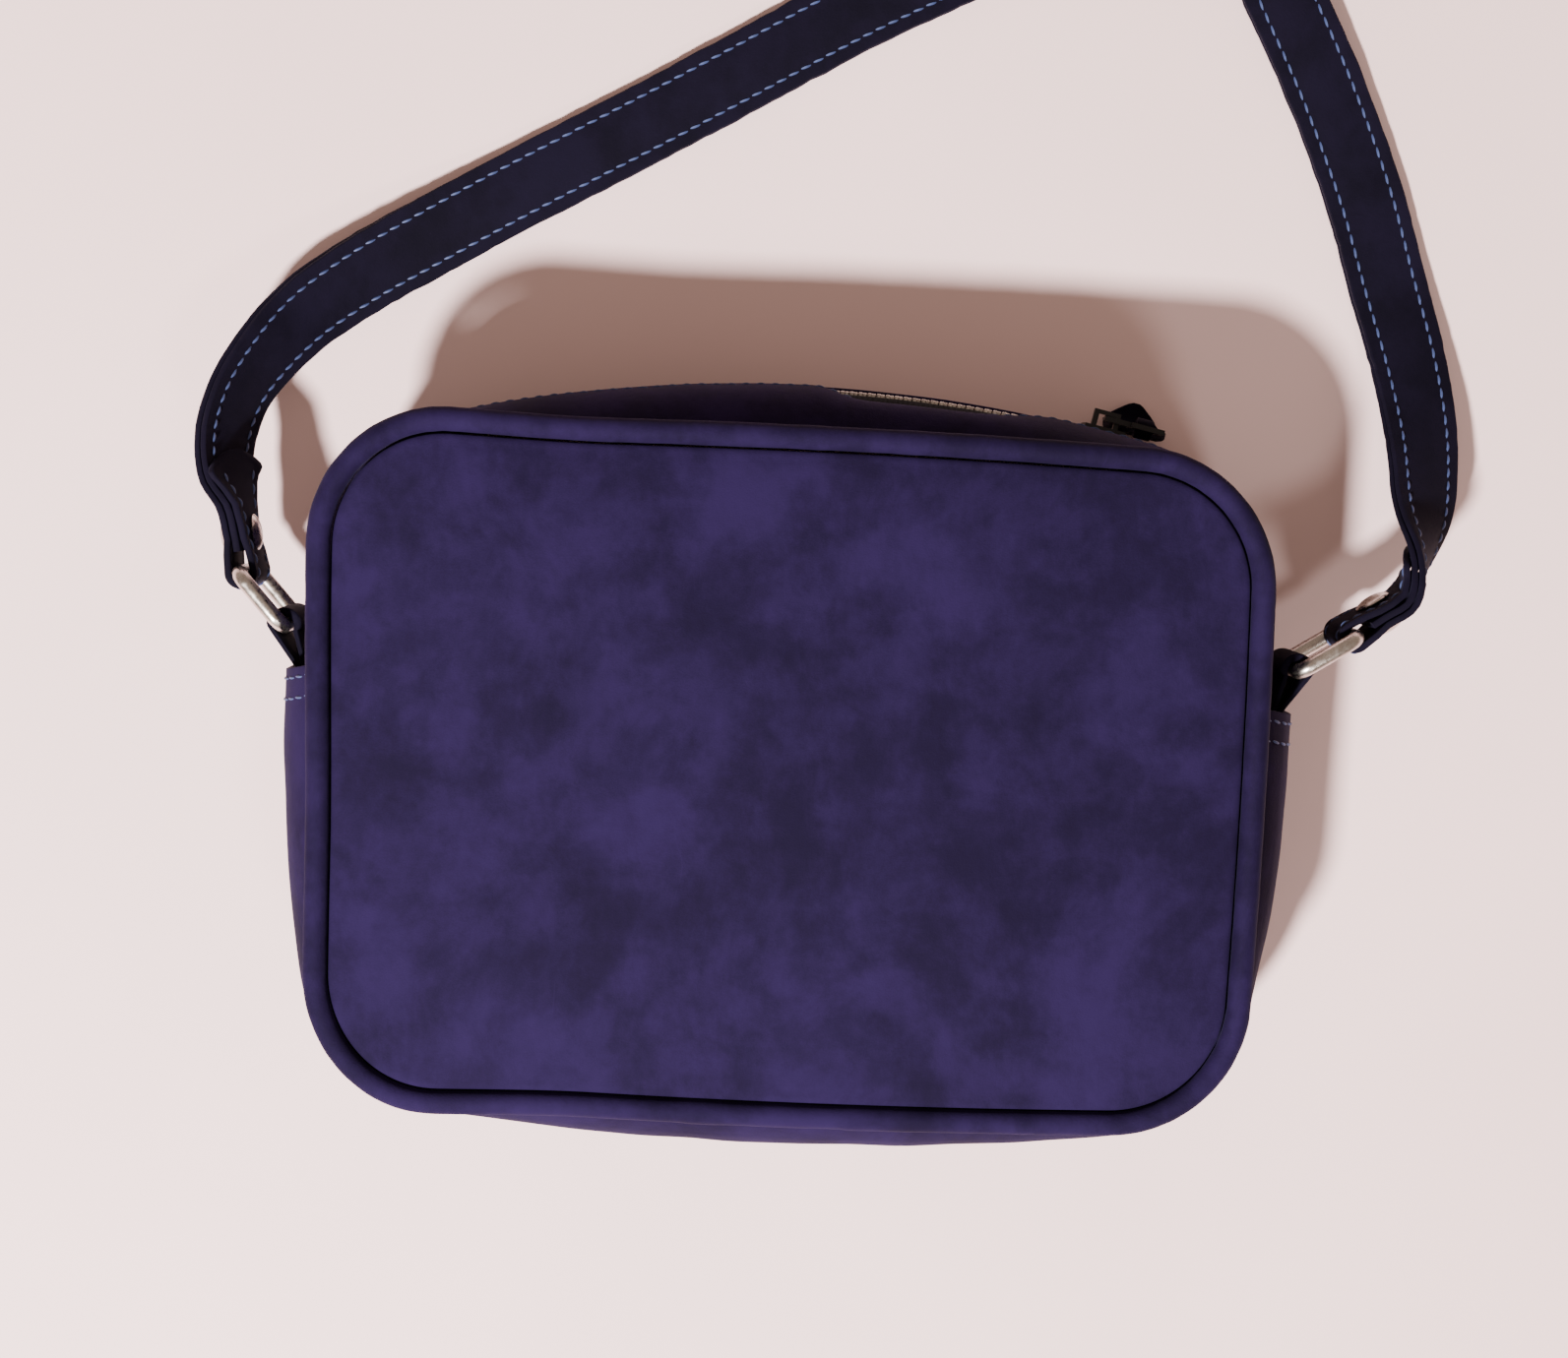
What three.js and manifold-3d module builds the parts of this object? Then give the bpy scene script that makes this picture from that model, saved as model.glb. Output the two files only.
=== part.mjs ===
// A zipped leather crossbody bag of the camera-bag form, lying on its front panel.
// Millimetres. +X runs along the bag's length, +Y towards the zipped top, +Z up from
// the front panel to the back panel. The origin is the middle of the front panel's face.

import * as THREE from "three";
import { mergeVertices } from "three/addons/utils/BufferGeometryUtils.js";
import Module from "manifold-3d";

const wasm = await Module();
wasm.setup();

// ---------- driving dimensions ----------
const PANEL_HALF_LENGTH = 104.5; // to the seam beside the piping
const PANEL_HALF_HEIGHT = 75.5;
const PANEL_CORNER = 27;
const PANEL_SIDE_BOW = 2300; // radius of the gently bowed edges
const TOP_SPREAD = 0.026; // how much further the panels reach at the top left, as a share
const LEFT_SPREAD = 0.032; // how much taller they are at the left end
const BAG_DEPTH = 60.5; // front face to the top of the back piping
const PANEL_LEATHER = 2.0;
const GUSSET_LEATHER = 1.5;
const BACK_CROWN = 3.0; // how far the back panel puffs up
const PIPING_RADIUS = 2.9;
const GAP = 0.3; // clearance between touching pieces

const SIDE_BULGE = 15; // how far the lower gusset bulges past the seam at mid depth
const TOP_BULGE = 15.5;
const BOTTOM_BULGE = 15;
const TOP_RISE = 16.05; // rise of each bowed edge over the panel's length or height
const BOTTOM_RISE = 9.1;
const SIDE_RISE = 8;
const SIDE_SHIFT = 12; // how far above the middle the sides bulge most
const GUSSET_CORNER = 38;
const SECTION_POWER = 3.5; // how flat the gusset is across its middle
const SECTION_BASE = 0.14; // share of the bulge already reached at the seam

const OVERLAP_SHARE = 0.245; // height of the lower gusset's folded edge, to the half panel
const OVERLAP = 14.5; // how far the upper gusset runs on under it

const LINING = 0.6;

const ZIP_SHORT = 24.5; // how much shorter the half zip is than the half panel
const ZIP_SLOT = 5; // half width of the slot in the leather
const TAPE = 0.7;
const TAPE_EDGE = 2.7;
const TAPE_REACH = 11;
const TEETH_THICK = 2.4;
const TOOTH_INNER = 0.6; // half the gap that the slider's post runs in
const TOOTH_BACK = 2.4;
const STOP_LENGTH = 2;
const SLIDER_SETBACK = 8; // from the chain's end to the closed slider

const TAB_WIDTH = 20;
const TAB_LEATHER = 1.9;
const TAB_STEM = 2.6;
const TAB_TUCK = 12.5; // how far the tab's stem runs down under the fold
const RING_WIRE = 1.9; // wire radius
const RING_INNER_SPAN = 21.5;
const RING_REACH = 15.8; // bar to bar
const RING_RISE = 10.5; // the ring's near bar above the folded edge
const LEFT_RING_ANGLE = 132; // degrees from +X at rest
const RIGHT_RING_ANGLE = 33;

const STRAP_WIDTH = 19;
const STRAP_LAYER = 1.6;
const RIVET_RADIUS = 4.3;
const RIVET_PLACE = 9; // from the ring's far bar
const FLAP_LENGTH = 22; // from the same bar to the flap's tip

// Worked out from them.
const MID_DEPTH = BAG_DEPTH / 2;
const SECTION_HALF = MID_DEPTH - 2 * PIPING_RADIUS - 3 * GAP - 0.05; // half the gusset's width
const LOWER_HALF_LENGTH = PANEL_HALF_LENGTH + SIDE_BULGE;
const TOP_REACH = PANEL_HALF_HEIGHT + TOP_BULGE;
const BOTTOM_REACH = PANEL_HALF_HEIGHT + BOTTOM_BULGE;
const TOP_BOW = PANEL_HALF_LENGTH ** 2 / (2 * TOP_RISE); // radius of the bowed zip line
const BOTTOM_BOW = PANEL_HALF_LENGTH ** 2 / (2 * BOTTOM_RISE);
const SIDE_BOW = PANEL_HALF_HEIGHT ** 2 / (2 * SIDE_RISE);
const OVERLAP_TOP = OVERLAP_SHARE * PANEL_HALF_HEIGHT;
const UPPER_HALF_LENGTH = LOWER_HALF_LENGTH - GUSSET_LEATHER - TAB_STEM - 8 * GAP;
const OVERLAP_BOTTOM = OVERLAP_TOP - OVERLAP;
const TAB_STEM_OUT = UPPER_HALF_LENGTH + GAP + TAB_STEM;
const ZIP_CENTRE_Y = TOP_REACH - TOP_BOW;
const TAPE_DEPTH = GUSSET_LEATHER + GAP;
const LINING_DEPTH = TAPE_DEPTH + TAPE + GAP;
const CHAIN_RADIUS = TOP_BOW - TAPE_DEPTH - TAPE / 2;
const ZIP_HALF = PANEL_HALF_LENGTH - ZIP_SHORT; // half length of the toothed chain
const SLIDER_CLOSED = ZIP_HALF - SLIDER_SETBACK;
const RING_BAR_OUT = LOWER_HALF_LENGTH - 0.1;
const RING_BAR_Y = OVERLAP_TOP + RING_RISE;

// ---------- helpers ----------
const PALETTE = {
  nubuck: { color: 0x3e3566, roughness: 0.9, metalness: 0 },
  strap: { color: 0x27213f, roughness: 0.9, metalness: 0 },
  lining: { color: 0x23202a, roughness: 0.95, metalness: 0 },
  tape: { color: 0x121118, roughness: 0.95, metalness: 0 },
  nickel: { color: 0xb9b2aa, roughness: 0.25, metalness: 1 },
};
const materials = Object.fromEntries(
  Object.entries(PALETTE).map(([name, look]) => [name, new THREE.MeshStandardMaterial(look)]),
);
const bag = new THREE.Group();

function addPart(name, geometry, finish, parent = bag) {
  const mesh = new THREE.Mesh(geometry, materials[finish]);
  mesh.name = name;
  parent.add(mesh);
  return mesh;
}

function indexed(geometry) {
  const bare = new THREE.BufferGeometry();
  bare.setAttribute("position", geometry.getAttribute("position"));
  if (geometry.index) bare.setIndex(geometry.index);
  return mergeVertices(bare, 1e-4);
}

// Turns a closed surface's faces outwards if they point in.
function facingOut(geometry) {
  const p = geometry.getAttribute("position");
  const index = geometry.index.array;
  const [a, b, c] = [new THREE.Vector3(), new THREE.Vector3(), new THREE.Vector3()];
  let volume = 0;
  for (let i = 0; i < index.length; i += 3) {
    a.fromBufferAttribute(p, index[i]);
    b.fromBufferAttribute(p, index[i + 1]);
    c.fromBufferAttribute(p, index[i + 2]);
    volume += a.dot(b.cross(c));
  }
  if (volume < 0) {
    for (let i = 0; i < index.length; i += 3) {
      [index[i + 1], index[i + 2]] = [index[i + 2], index[i + 1]];
    }
  }
  return geometry;
}

function toSolid(geometry) {
  const g = facingOut(indexed(geometry));
  return new wasm.Manifold(
    new wasm.Mesh({
      numProp: 3,
      vertProperties: g.getAttribute("position").array,
      triVerts: new Uint32Array(g.index.array),
    }),
  );
}

function fromSolid(solid) {
  const mesh = solid.getMesh();
  const geometry = new THREE.BufferGeometry();
  geometry.setAttribute("position", new THREE.BufferAttribute(mesh.vertProperties, 3));
  geometry.setIndex(new THREE.BufferAttribute(mesh.triVerts, 1));
  return geometry;
}

const unite = (...geometries) => fromSolid(geometries.map(toSolid).reduce((a, b) => a.add(b)));
const cut = (body, ...tools) =>
  fromSolid(tools.map(toSolid).reduce((a, b) => a.subtract(b), toSolid(body)));

function box(x0, x1, y0, y1, z0, z1) {
  const g = new THREE.BoxGeometry(x1 - x0, y1 - y0, z1 - z0);
  return g.translate((x0 + x1) / 2, (y0 + y1) / 2, (z0 + z1) / 2);
}

// A solid through a row of equal-sided closed sections, with flat ends. The two halves of
// a section face each other, and their quads are split along the same diagonal, so that a
// twisted sheet keeps its thickness.
function loft(sections) {
  const m = sections[0].length;
  const position = sections.flat().flatMap((p) => [p.x, p.y, p.z]);
  const index = [];
  for (let i = 0; i + 1 < sections.length; i++) {
    for (let j = 0; j < m; j++) {
      const [a, b] = [i * m + j, i * m + ((j + 1) % m)];
      if (j < m / 2) index.push(a, b, b + m, a, b + m, a + m);
      else index.push(a, b, a + m, b, b + m, a + m);
    }
  }
  const last = (sections.length - 1) * m;
  for (let j = 0; j < m / 2 - 1; j++) {
    const quad = [j, j + 1, m - 2 - j, m - 1 - j];
    index.push(quad[0], quad[2], quad[1], quad[0], quad[3], quad[2]);
    index.push(last + quad[0], last + quad[1], last + quad[2]);
    index.push(last + quad[0], last + quad[2], last + quad[3]);
  }
  const g = new THREE.BufferGeometry();
  g.setAttribute("position", new THREE.Float32BufferAttribute(position, 3));
  g.setIndex(index);
  return facingOut(indexed(g));
}

function ramp(from, to, count) {
  return Array.from({ length: count + 1 }, (_, i) => from + ((to - from) * i) / count);
}

function smooth(value, from, to) {
  const x = THREE.MathUtils.clamp((value - from) / (to - from), 0, 1);
  return x * x * (3 - 2 * x);
}

// ---------- outlines ----------
// Centre of the corner arc that runs into a side arc and an end arc.
function cornerCentre(sideX, sideRadius, endY, endRadius, corner) {
  const [p, q] = [sideRadius - corner, endRadius - corner];
  const span = Math.hypot(sideX, endY);
  const along = (p * p - q * q + span * span) / (2 * span);
  const off = Math.sqrt(p * p - along * along);
  const [ux, uy] = [-sideX / span, endY / span];
  const options = [1, -1].map((s) => [sideX + ux * along - s * uy * off, uy * along + s * ux * off]);
  return options.find(([x, y]) => x > 0 && y * -Math.sign(endY) > 0);
}

// A closed outline of eight tangent arcs, counter-clockwise from the foot of the right side.
function outline({ length, top, bottom, topBow, bottomBow, sideBow, corner, shift = 0 }) {
  const sideX = length - sideBow;
  const topY = top - shift - topBow;
  const bottomY = bottomBow - bottom - shift;
  const [tx, ty] = cornerCentre(sideX, sideBow, topY, topBow, corner);
  const [bx, by] = cornerCentre(sideX, sideBow, bottomY, bottomBow, corner);
  const up = Math.atan2(ty, tx - sideX);
  const down = Math.atan2(by, bx - sideX);
  const crown = Math.atan2(ty - topY, tx);
  const foot = Math.atan2(by - bottomY, bx);
  const arc = (x, y, radius, from, to) => ({ x, y: y + shift, radius, from, to });
  return [
    arc(sideX, 0, sideBow, down, up),
    arc(tx, ty, corner, up, crown),
    arc(0, topY, topBow, crown, Math.PI - crown),
    arc(-tx, ty, corner, Math.PI - crown, Math.PI - up),
    arc(-sideX, 0, sideBow, Math.PI - up, Math.PI - down),
    arc(-bx, by, corner, Math.PI - down, Math.PI - foot),
    arc(0, bottomY, bottomBow, Math.PI - foot, 2 * Math.PI + foot),
    arc(bx, by, corner, foot, down),
  ];
}

function pointOn(arcs, place, offset = 0) {
  const turn = ((place % 8) + 8) % 8;
  const { x, y, radius, from, to } = arcs[Math.floor(turn)];
  const angle = from + (turn - Math.floor(turn)) * (to - from);
  return new THREE.Vector2(
    x + (radius + offset) * Math.cos(angle),
    y + (radius + offset) * Math.sin(angle),
  );
}

// The place along the right side at height y.
function sidePlace(arcs, height) {
  const { y, radius, from, to } = arcs[0];
  return (Math.asin((height - y) / radius) - from) / (to - from);
}

// The place along the top at length x.
function topPlace(arcs, x) {
  const { radius, from, to } = arcs[2];
  return 2 + (Math.PI / 2 - Math.asin(x / radius) - from) / (to - from);
}

const seam = outline({
  length: PANEL_HALF_LENGTH,
  top: PANEL_HALF_HEIGHT,
  bottom: PANEL_HALF_HEIGHT,
  topBow: PANEL_SIDE_BOW,
  bottomBow: PANEL_SIDE_BOW,
  sideBow: PANEL_SIDE_BOW,
  corner: PANEL_CORNER,
});

// The seam round the panels, spread a little at its left end and its top left.
function seamPoint(place, offset = 0) {
  const p = pointOn(seam, place, offset);
  const wider = TOP_SPREAD * smooth(p.y, -0.3 * PANEL_HALF_HEIGHT, 0.9 * PANEL_HALF_HEIGHT)
    * smooth(-p.x, -0.4 * PANEL_HALF_LENGTH, 0.4 * PANEL_HALF_LENGTH);
  const taller = LEFT_SPREAD * smooth(-p.x, 0.4 * PANEL_HALF_LENGTH, 0.95 * PANEL_HALF_LENGTH);
  return p.set(p.x * (1 + wider), p.y * (1 + taller));
}
const bulge = (length) =>
  outline({
    length,
    top: TOP_REACH,
    bottom: BOTTOM_REACH,
    topBow: TOP_BOW,
    bottomBow: BOTTOM_BOW,
    sideBow: SIDE_BOW,
    corner: GUSSET_CORNER,
    shift: SIDE_SHIFT,
  });
const upper = bulge(UPPER_HALF_LENGTH);
const lower = bulge(LOWER_HALF_LENGTH);

// ---------- gusset sheets ----------
// A point of the bulging wall: place runs round the bag, across runs from the front seam
// (-1) to the back seam (+1), and depth goes in from the outer face.
function wallPoint(arcs, place, across, depth) {
  const root = seamPoint(place);
  const out = pointOn(arcs, place).sub(root);
  const reach = out.length();
  const bend = Math.abs(across) ** SECTION_POWER;
  const slope =
    -reach * (1 - SECTION_BASE) * SECTION_POWER * Math.sign(across) *
    Math.abs(across) ** (SECTION_POWER - 1);
  const size = Math.hypot(slope, SECTION_HALF);
  const radial = reach * (SECTION_BASE + (1 - SECTION_BASE) * (1 - bend)) - (depth * SECTION_HALF) / size;
  const height = MID_DEPTH + across * SECTION_HALF + (depth * slope) / size;
  out.normalize().multiplyScalar(radial).add(root);
  return new THREE.Vector3(out.x, out.y, height);
}

// A sheet of the wall between two depths; edges(place) gives its two edges across.
function wallSheet(arcs, places, edges, outside, inside, strips = 5) {
  return loft(
    places.map((place) => {
      const rows = ramp(...edges(place), strips);
      const outer = rows.map((t) => wallPoint(arcs, place, t, outside));
      const inner = rows.map((t) => wallPoint(arcs, place, t, inside)).reverse();
      return [...outer, ...inner];
    }),
  );
}

// Places from the right side over the top to the left side, and back under the bottom.
function overTop(arcs, y) {
  const start = sidePlace(arcs, y);
  const right = ramp(start, 1, 3).slice(0, -1);
  const middle = [...ramp(1, 2, 4), ...ramp(2, 3, 14).slice(1), ...ramp(3, 4, 4).slice(1)];
  return [...right, ...middle, ...right.map((u) => 5 - u).reverse()];
}

function underBottom(arcs, y) {
  const start = 5 - sidePlace(arcs, y);
  const left = ramp(start, 5, 4).slice(0, -1);
  const middle = [...ramp(5, 6, 5), ...ramp(6, 7, 6).slice(1), ...ramp(7, 8, 5).slice(1)];
  return [...left, ...middle, ...left.map((u) => 13 - u).reverse()];
}

function addGussets() {
  addPart(
    "lower_gusset",
    wallSheet(lower, underBottom(lower, OVERLAP_TOP), () => [-1, 1], 0, GUSSET_LEATHER, 6),
    "nubuck",
  );
  const slotEnd = ZIP_HALF + STOP_LENGTH + 4;
  for (const [name, side] of [["back", 1], ["front", -1]]) {
    const edges = (place) => {
      const p = pointOn(upper, place);
      const seamShare = THREE.MathUtils.lerp(0.76, 1, smooth(p.y, OVERLAP_TOP + 1, OVERLAP_TOP + 6));
      const slot = THREE.MathUtils.lerp(ZIP_SLOT, GAP / 2, smooth(Math.abs(p.x), slotEnd, slotEnd + 8));
      return [(side * slot) / SECTION_HALF, side * seamShare];
    };
    addPart(
      `zip_gusset_${name}`,
      wallSheet(upper, overTop(upper, OVERLAP_BOTTOM), edges, 0, GUSSET_LEATHER),
      "nubuck",
    );
  }
}

// ---------- panels, piping and lining ----------
function ring(scale, offset, z) {
  return ramp(0, 8, 48)
    .slice(0, -1)
    .map((place) => seamPoint(place, offset).multiplyScalar(scale))
    .map((p) => new THREE.Vector3(p.x, p.y, z));
}

// A plate with the panel's outline, inset from the seam and crowned in its middle.
function plate(inset, bottom, thickness, crown) {
  const scales = crown ? [0.3, 0.6, 0.82, 1] : [1];
  const face = (z) => scales.map((s) => ring(s, -inset, z + crown * (1 - s * s)));
  return loft([...face(bottom), ...face(bottom + thickness).reverse()]);
}

function addPanels() {
  const backFace = BAG_DEPTH - PIPING_RADIUS + 0.8;
  const backInside = backFace - PANEL_LEATHER;
  addPart("back_panel", plate(GAP, backInside, PANEL_LEATHER, BACK_CROWN), "nubuck");
  addPart("front_panel", plate(GAP, 0, PANEL_LEATHER, 0), "nubuck");
  addPart("lining_back", plate(3, backInside - GAP - LINING, LINING, BACK_CROWN), "lining");
  addPart("lining_front", plate(3, PANEL_LEATHER + GAP, LINING, 0), "lining");
  const places = underBottom(upper, OVERLAP_BOTTOM);
  const depths = [LINING_DEPTH, LINING_DEPTH + LINING];
  const liningHalf = 0.8;
  addPart(
    "lining_gusset",
    wallSheet(upper, places, () => [-liningHalf, liningHalf], ...depths, 4),
    "lining",
  );
  const strip = (side) => () => [(side * (ZIP_SLOT + 1)) / SECTION_HALF, side * liningHalf];
  const above = overTop(upper, OVERLAP_BOTTOM + 2);
  addPart("lining_zip_strip_back", wallSheet(upper, above, strip(1), ...depths, 2), "lining");
  addPart("lining_zip_strip_front", wallSheet(upper, above, strip(-1), ...depths, 2), "lining");
}

function disc(radius, sides) {
  const shape = new THREE.Shape();
  for (let i = 0; i < sides; i++) {
    const a = (2 * Math.PI * (i + 0.5)) / sides;
    const [x, y] = [radius * Math.cos(a), radius * Math.sin(a)];
    if (i) shape.lineTo(x, y);
    else shape.moveTo(x, y);
  }
  shape.closePath();
  return shape;
}

function tube(points, radius, steps, sides) {
  const extrudePath = new THREE.CatmullRomCurve3(points, false, "centripetal");
  return new THREE.ExtrudeGeometry(disc(radius, sides), { steps, extrudePath, bevelEnabled: false });
}

// The piping is one covered cord whose ends butt at the middle of the bottom.
function addPiping() {
  const joint = 6.5;
  const slit = 0.003;
  const heights = { back: BAG_DEPTH - PIPING_RADIUS, front: PIPING_RADIUS + GAP };
  const places = ramp(joint, joint + 8, 48);
  places[0] += slit;
  places[48] -= slit;
  for (const [name, z] of Object.entries(heights)) {
    const sections = places.map((place) =>
      ramp(0, 2 * Math.PI, 8).slice(1).map((angle) => {
        const p = seamPoint(place, PIPING_RADIUS * (1 + Math.cos(angle)) + GAP / 2);
        return new THREE.Vector3(p.x, p.y, z + PIPING_RADIUS * Math.sin(angle));
      }),
    );
    addPart(`${name}_piping`, loft(sections), "nubuck");
  }
}

// ---------- zip ----------
// A strip as thick as the teeth that follows the zip line between two arc lengths.
function zipStrip(from, to, acrossA, acrossB, steps) {
  const radii = [CHAIN_RADIUS - TEETH_THICK / 2, CHAIN_RADIUS + TEETH_THICK / 2];
  const corners = [[radii[0], acrossA], [radii[1], acrossA], [radii[1], acrossB], [radii[0], acrossB]];
  return loft(
    ramp(from, to, steps).map((along) => {
      const angle = along / TOP_BOW;
      return corners.map(
        ([r, z]) =>
          new THREE.Vector3(r * Math.sin(angle), ZIP_CENTRE_Y + r * Math.cos(angle), MID_DEPTH + z),
      );
    }),
  );
}

function addZip() {
  for (const [name, side] of [["back", 1], ["front", -1]]) {
    const tapeHalf = ZIP_HALF + STOP_LENGTH + 2;
    const places = ramp(topPlace(upper, tapeHalf), topPlace(upper, -tapeHalf), 16);
    const edges = () => [(side * TAPE_EDGE) / SECTION_HALF, (side * TAPE_REACH) / SECTION_HALF];
    addPart(
      `zipper_tape_${name}`,
      wallSheet(upper, places, edges, TAPE_DEPTH, TAPE_DEPTH + TAPE, 2),
      "tape",
    );

    const rail = zipStrip(-ZIP_HALF, ZIP_HALF, side * TOOTH_INNER, side * TOOTH_BACK, 20);
    addPart(`zipper_teeth_${name}`, rail, "nickel");
    const top = ZIP_HALF + GAP;
    const stop = zipStrip(top, top + STOP_LENGTH, side * TOOTH_INNER, side * TOOTH_BACK, 1);
    addPart(`top_stop_${name}`, stop, "nickel");
  }
  const foot = -ZIP_HALF - GAP;
  addPart("bottom_stop", zipStrip(foot - STOP_LENGTH, foot, -TOOTH_BACK, TOOTH_BACK, 1), "nickel");
}

// The slider's own frame: x along the chain, y outwards from the chain, z across it.
const PLATE_HALF = 5;
const PLATE_WIDE = 4.4;
const PLATE_THICK = 1.4;
const PLATE_IN = TEETH_THICK / 2 + GAP;
const PIVOT_OUT = PLATE_IN + PLATE_THICK + 2.2;
const EYE_NEAR = 7.5;
const EYE_FAR = 12;
const EYE_SIDE = 3.4;
const RIM = 1.6;
const PULL_THICK = 1.2;

function sliderBody() {
  const plateOut = PLATE_IN + PLATE_THICK;
  const bridgeTop = PIVOT_OUT + 0.9;
  const post = 0.25;
  return unite(
    box(-PLATE_HALF, PLATE_HALF, PLATE_IN, plateOut, -PLATE_WIDE, PLATE_WIDE),
    box(-PLATE_HALF, PLATE_HALF, -PLATE_IN - PLATE_THICK, -PLATE_IN, -PLATE_WIDE, PLATE_WIDE),
    box(2, PLATE_HALF - GAP, -PLATE_IN - 0.1, PLATE_IN + 0.1, -post, post),
    box(-3.2, -2, plateOut - 0.1, bridgeTop, -0.9, 0.9),
    box(2, 3.2, plateOut - 0.1, bridgeTop, -0.9, 0.9),
    box(-3.2, 3.2, bridgeTop - 0.1, bridgeTop + 0.9, -0.9, 0.9),
  );
}

function pullTab() {
  const half = PULL_THICK / 2;
  const side = EYE_SIDE + RIM;
  const pin = new THREE.CylinderGeometry(half, half, 5.2, 8).rotateX(Math.PI / 2);
  const flat = (x0, x1, z0, z1) => box(x0, x1, -half, half, z0, z1);
  const frame = cut(
    flat(EYE_NEAR - RIM, EYE_FAR + RIM, -side, side),
    box(EYE_NEAR, EYE_FAR, -2 * half, 2 * half, -EYE_SIDE, EYE_SIDE),
  );
  return unite(
    pin,
    flat(0, EYE_NEAR - RIM + 0.1, 1.3, 2.6),
    flat(0, EYE_NEAR - RIM + 0.1, -2.6, -1.3),
    frame,
  ).translate(0, PIVOT_OUT, 0);
}

// The leather puller: a folded strip whose narrow neck loops round the eye's lower rim.
const PULLER_THICK = 2.4;
const PULLER_HALF = 7;
const NECK_HALF = 2;
const NECK_BORE = 1.3;
const NECK_LEATHER = 1.2;

function leatherPuller() {
  const x = (EYE_NEAR + EYE_FAR) / 2;
  const loopZ = -EYE_SIDE - RIM / 2;
  const loopShape = disc(NECK_BORE + NECK_LEATHER, 16);
  loopShape.holes.push(disc(NECK_BORE, 12));
  const loop = new THREE.ExtrudeGeometry(loopShape, { depth: 2 * NECK_HALF, bevelEnabled: false })
    .rotateY(Math.PI / 2)
    .translate(x - NECK_HALF, PIVOT_OUT, loopZ);

  // Down the outside of the bag, then out along whatever the bag lies on.
  const floor = PULLER_THICK / 2 + 0.4 - MID_DEPTH;
  const bendRadius = 3.4;
  const drop = (z) => ({ out: PIVOT_OUT, z, lean: 0 });
  const line = [
    { ...drop(loopZ - NECK_BORE - 0.2), half: NECK_HALF },
    { ...drop(loopZ - NECK_BORE - 4), half: NECK_HALF },
    { ...drop(loopZ - NECK_BORE - 8), half: PULLER_HALF },
    { ...drop(floor + bendRadius), half: PULLER_HALF },
  ];
  for (const lean of [22.5, 45, 67.5, 90]) {
    const a = THREE.MathUtils.degToRad(lean);
    line.push({
      out: PIVOT_OUT + bendRadius * (1 - Math.cos(a)),
      z: floor + bendRadius * (1 - Math.sin(a)),
      lean: a,
      half: PULLER_HALF * (lean > 60 ? 0.78 : 1),
    });
  }
  line.push({ out: PIVOT_OUT + bendRadius + 3.4, z: floor, lean: Math.PI / 2, half: 0.6 });
  const body = loft(
    line.map(({ out, z, lean, half }) => {
      const [dy, dz] = [(Math.cos(lean) * PULLER_THICK) / 2, (Math.sin(lean) * PULLER_THICK) / 2];
      return [[-1, -1], [1, -1], [1, 1], [-1, 1]].map(
        ([a, b]) => new THREE.Vector3(x + a * half, out + b * dy, z + b * dz),
      );
    }),
  );
  return unite(loop, body);
}

function addSlider() {
  const carriage = new THREE.Group();
  const angle = SLIDER_CLOSED / TOP_BOW;
  carriage.position.set(
    CHAIN_RADIUS * Math.sin(angle),
    ZIP_CENTRE_Y + CHAIN_RADIUS * Math.cos(angle),
    MID_DEPTH,
  );
  carriage.rotation.z = -angle;
  bag.add(carriage);
  addPart("zipper_slider", sliderBody(), "nickel", carriage);
  addPart("pull_tab", pullTab(), "nickel", carriage);
  addPart("leather_puller", leatherPuller(), "strap", carriage);
}

// ---------- rings and their tabs ----------
function ringWire() {
  const half = RING_INNER_SPAN / 2 + RING_WIRE;
  const corner = 3.2;
  const slit = 0.3;
  const points = [new THREE.Vector3(0, 0, slit)];
  const bends = [
    [corner, half - corner, 180],
    [RING_REACH - corner, half - corner, 90],
    [RING_REACH - corner, corner - half, 0],
    [corner, corner - half, -90],
  ];
  points.push(new THREE.Vector3(0, 0, half / 2));
  for (const [x, z, from] of bends) {
    for (const turn of [0, 30, 60, 90]) {
      const a = THREE.MathUtils.degToRad(from - turn);
      points.push(new THREE.Vector3(x + corner * Math.cos(a), 0, z + corner * Math.sin(a)));
    }
  }
  points.push(new THREE.Vector3(0, 0, -half / 2), new THREE.Vector3(0, 0, -slit));
  return tube(points, RING_WIRE, 34, 8);
}

// A leather loop round the ring's bar, with a stem that goes down between the gussets.
function ringTab() {
  const bore = RING_WIRE + GAP;
  const outer = bore + TAB_LEATHER;
  const stemIn = TAB_STEM_OUT - TAB_STEM;
  const shape = new THREE.Shape();
  shape.moveTo(stemIn, OVERLAP_TOP - TAB_TUCK);
  shape.lineTo(TAB_STEM_OUT, OVERLAP_TOP - TAB_TUCK);
  shape.lineTo(TAB_STEM_OUT + GAP, OVERLAP_TOP + 0.8);
  for (const turn of ramp(-20, 200, 11)) {
    const a = THREE.MathUtils.degToRad(turn);
    shape.lineTo(RING_BAR_OUT + outer * Math.cos(a), RING_BAR_Y + outer * Math.sin(a));
  }
  shape.lineTo(stemIn, OVERLAP_TOP + 2);
  shape.closePath();
  const hole = disc(bore, 14).getPoints();
  shape.holes.push(new THREE.Path(hole.map((p) => p.add(new THREE.Vector2(RING_BAR_OUT, RING_BAR_Y)))));
  return new THREE.ExtrudeGeometry(shape, { depth: TAB_WIDTH, bevelEnabled: false });
}

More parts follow.
